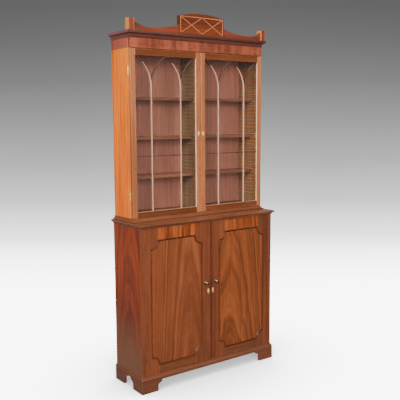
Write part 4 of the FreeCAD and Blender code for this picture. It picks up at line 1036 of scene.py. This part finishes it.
def panel_moulding(word):
    """A bead with a fillet and a hollow, 9 mm wide and 3 mm proud of the frame."""
    node = "lower_%s_door_panel_moulding" % word
    low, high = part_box(node)
    path = hollow_corners((low.x, low.z), (high.x, high.z), MOULDING_HALF)
    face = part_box("lower_%s_door_frame" % word)[0].y
    outline = profile((-4.5, -0.5), (-4.5, 0.9), arc((-3.6, 1.0), (0.6, 1.2), 1.8, 9), (0.9, 0.6),
                      arc((1.4, 0.4), (4.4, -2.2), -0.7, 6), (4.4, -3.0))
    moulding = on_door(node + "_run", path, outline, face, closed=True)
    moulding.data.materials.append(FINISHES["moulding"][0])
    return dress(moulding, node)


def panelled_door(word):
    """Frame, figured panel and moulding of one door."""
    frame_piece = softened("lower_%s_door_frame" % word, "cupboard_stile", 1.0)
    low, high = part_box("lower_%s_door_panel_moulding" % word)
    paint(frame_piece, FIGURED["rail_band"],
          lambda centre, normal: normal.y < -0.5 and centre.z > high.z - RAIL_MARGIN)
    paint(frame_piece, FINISHES["cupboard_rail"][0],
          lambda centre, normal: normal.y < -0.5 and centre.z < low.z + RAIL_MARGIN)
    softened("lower_%s_door_panel" % word, [FIGURED["panel_" + word]], 0.5, grain=2, centred=True)
    panel_moulding(word)


for word in ("left", "right"):
    panelled_door(word)
print("panelled doors made")

# %% [markdown]
# ## Knobs and key plates
# A knob is turned: its outline is spun about its own axis. A key plate is a thin plate with
# a keyhole, worked out between two closed curves: the plate's outline and the keyhole's. A
# share from 0 to 1 blends one into the other, and the plate's height follows that share, so
# its edge is thin and its middle swells.

# %% Turned knobs
def turned(name, outline, centre, steps=40):
    """Spins an outline of radius and distance about the line that runs forward, -Y."""
    angle = np.linspace(0, 2 * math.pi, steps, endpoint=False)
    radius, reach = outline[:, 0], outline[:, 1]
    x = centre.x + radius[None] * np.cos(angle)[:, None]
    z = centre.z + radius[None] * np.sin(angle)[:, None]
    y = np.broadcast_to(centre.y - reach[None], x.shape)
    faces = grid_faces(steps, len(outline), around_rows=True)
    piece = new_object(name, np.stack([x, y, z], -1), faces)
    close_poles(piece)
    return piece


def close_poles(piece):
    """Joins the points that meet on the axis, and points the faces outwards."""
    rework(piece, lambda work: bmesh.ops.remove_doubles(work, verts=work.verts, dist=1e-6))
    outward(piece)


KNOB = profile((0, 0), (9.6, 0), arc((10, 0.4), (9.4, 2.2), -0.3, 4), (7.6, 2.6), (7.2, 3.4),
               arc((6.6, 3.6), (5.2, 10.2), 1.2, 8), (6.4, 10.8), (6.6, 11.6), (9.6, 13.2),
               arc((12.6, 14.6), (13.3, 17.4), -0.6, 5), arc((13.1, 18.6), (5.2, 26.6), -2.0, 9),
               (4.6, 26.8), (3.8, 27.5), (1.6, 28.0), (0, 28.0))
for word in ("left", "right"):
    node = "lower_%s_door_knob" % word
    low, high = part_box(node)
    centre = Vector(((low.x + high.x) / 2, high.y, (low.z + high.z) / 2))
    knob = turned(node + "_turned", KNOB, centre)
    knob.data.materials.append(OLD_BRASS)
    dress(knob, node)
print("knobs made")

# %% Key plates
# Each ring's share of the way out, and its height as a share of the plate's thickness.
RING_SHARE = np.array([0, 0, 0.05, 0.3, 0.6, 0.8, 0.84, 0.95, 1.0, 1.0])
RING_LIFT = np.array([0, 0.75, 0.9, 1.0, 0.85, 0.6, 0.9, 0.9, 0.55, 0])
KEY_ROUND, KEY_SLOT, KEY_DROP, KEY_MOST = 2.2 * MM, 2.0 * MM, 6.5 * MM, 0.8
LEAST = 1e-9


def keyhole_curve(angle, radius, slot, drop):
    """A round hole over a narrow slot. A ray that goes up stops at the round. One that goes
    down stops at the round or the slot's side, whichever is farther, or at the slot's foot."""
    across = np.maximum(np.abs(np.cos(angle)), LEAST)
    down = np.maximum(-np.sin(angle), LEAST)
    below = np.minimum(np.maximum(radius, slot / 2 / across), drop / down)
    return np.where(np.sin(angle) < 0, below, radius)


def lozenge_curve(angle, half_width, half_height, power):
    """A rounded lozenge: |x / a| ^ p + |z / b| ^ p = 1, solved for the reach at each angle."""
    return (np.abs(np.cos(angle) / half_width) ** power
            + np.abs(np.sin(angle) / half_height) ** power) ** (-1 / power)


def key_plate(node, power, waves, swell, material):
    """Rings between the keyhole and the plate's outline: the first ring goes back into the
    hole, the last one down the edge. Waves cut eight shallow scallops into the outline, and
    swell makes the plate that much thicker than its box."""
    low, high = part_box(node)
    centre = (low + high) / 2
    angle = np.linspace(0, 2 * math.pi, 96, endpoint=False) + math.pi / 2
    outer = lozenge_curve(angle, (high.x - low.x) / 2, (high.z - low.z) / 2, power)
    outer *= 1 - waves * (0.5 - 0.5 * np.cos(angle * 8))
    inner = np.minimum(keyhole_curve(angle, KEY_ROUND, KEY_SLOT, KEY_DROP), outer * KEY_MOST)
    thick = high.y - low.y + swell
    share = RING_SHARE[:, None]
    reach = inner[None] * (1 - share) + outer[None] * share
    x = centre.x + reach * np.cos(angle)[None]
    z = centre.z + reach * np.sin(angle)[None]
    y = np.broadcast_to(high.y - thick * RING_LIFT[:, None], x.shape)
    points = np.stack([x, y, z], -1)
    faces = grid_faces(*points.shape[:2], around_columns=True)
    plate = new_object(node + "_plate", points, faces, smooth_angle=30)
    outward(plate)
    plate.data.materials.append(material)
    return dress(plate, node)


for word in ("left", "right"):
    key_plate("upper_%s_door_escutcheon" % word, 1.35, 0.12, 0.4 * MM, BRIGHT_BRASS)
    key_plate("lower_%s_door_escutcheon" % word, 1.25, 0.0, 0.1 * MM, BONE)
print("key plates made")

# %% [markdown]
# ## Hinges, locks and shelves
# The hinge leaves are thin brass, so their edges get only a hair of rounding. The locks sit
# in the meeting stiles, and the shelves are plain boards with a rounded front edge.

# %% Hinges and locks
for node, material in (("upper_left_door_hinge_leaves", HINGE_BRASS),
                       ("upper_right_door_hinge_leaves", HINGE_BRASS),
                       ("lower_left_door_hinge_leaves", DARK_BRASS),
                       ("lower_right_door_hinge_leaves", DARK_BRASS),
                       ("upper_lock_case", LOCK_STEEL), ("lower_lock_case", LOCK_STEEL),
                       ("upper_lock_bolt", BRIGHT_BRASS), ("lower_lock_bolt", BRIGHT_BRASS)):
    softened(node, [material], 0.25)
leaves = softened("carcase_hinge_leaves", [HINGE_BRASS], 0.25)
paint(leaves, DARK_BRASS, lambda centre, normal: centre.z < BASE_LOW.z)

# %% Shelves
for bay in ("left", "right"):
    for level in ("lower", "middle", "upper"):
        softened("%s_%s_shelf" % (bay, level), "shelf", 1.2)
softened("lower_shelf", "carcase", 1.2)
print("shelves made")
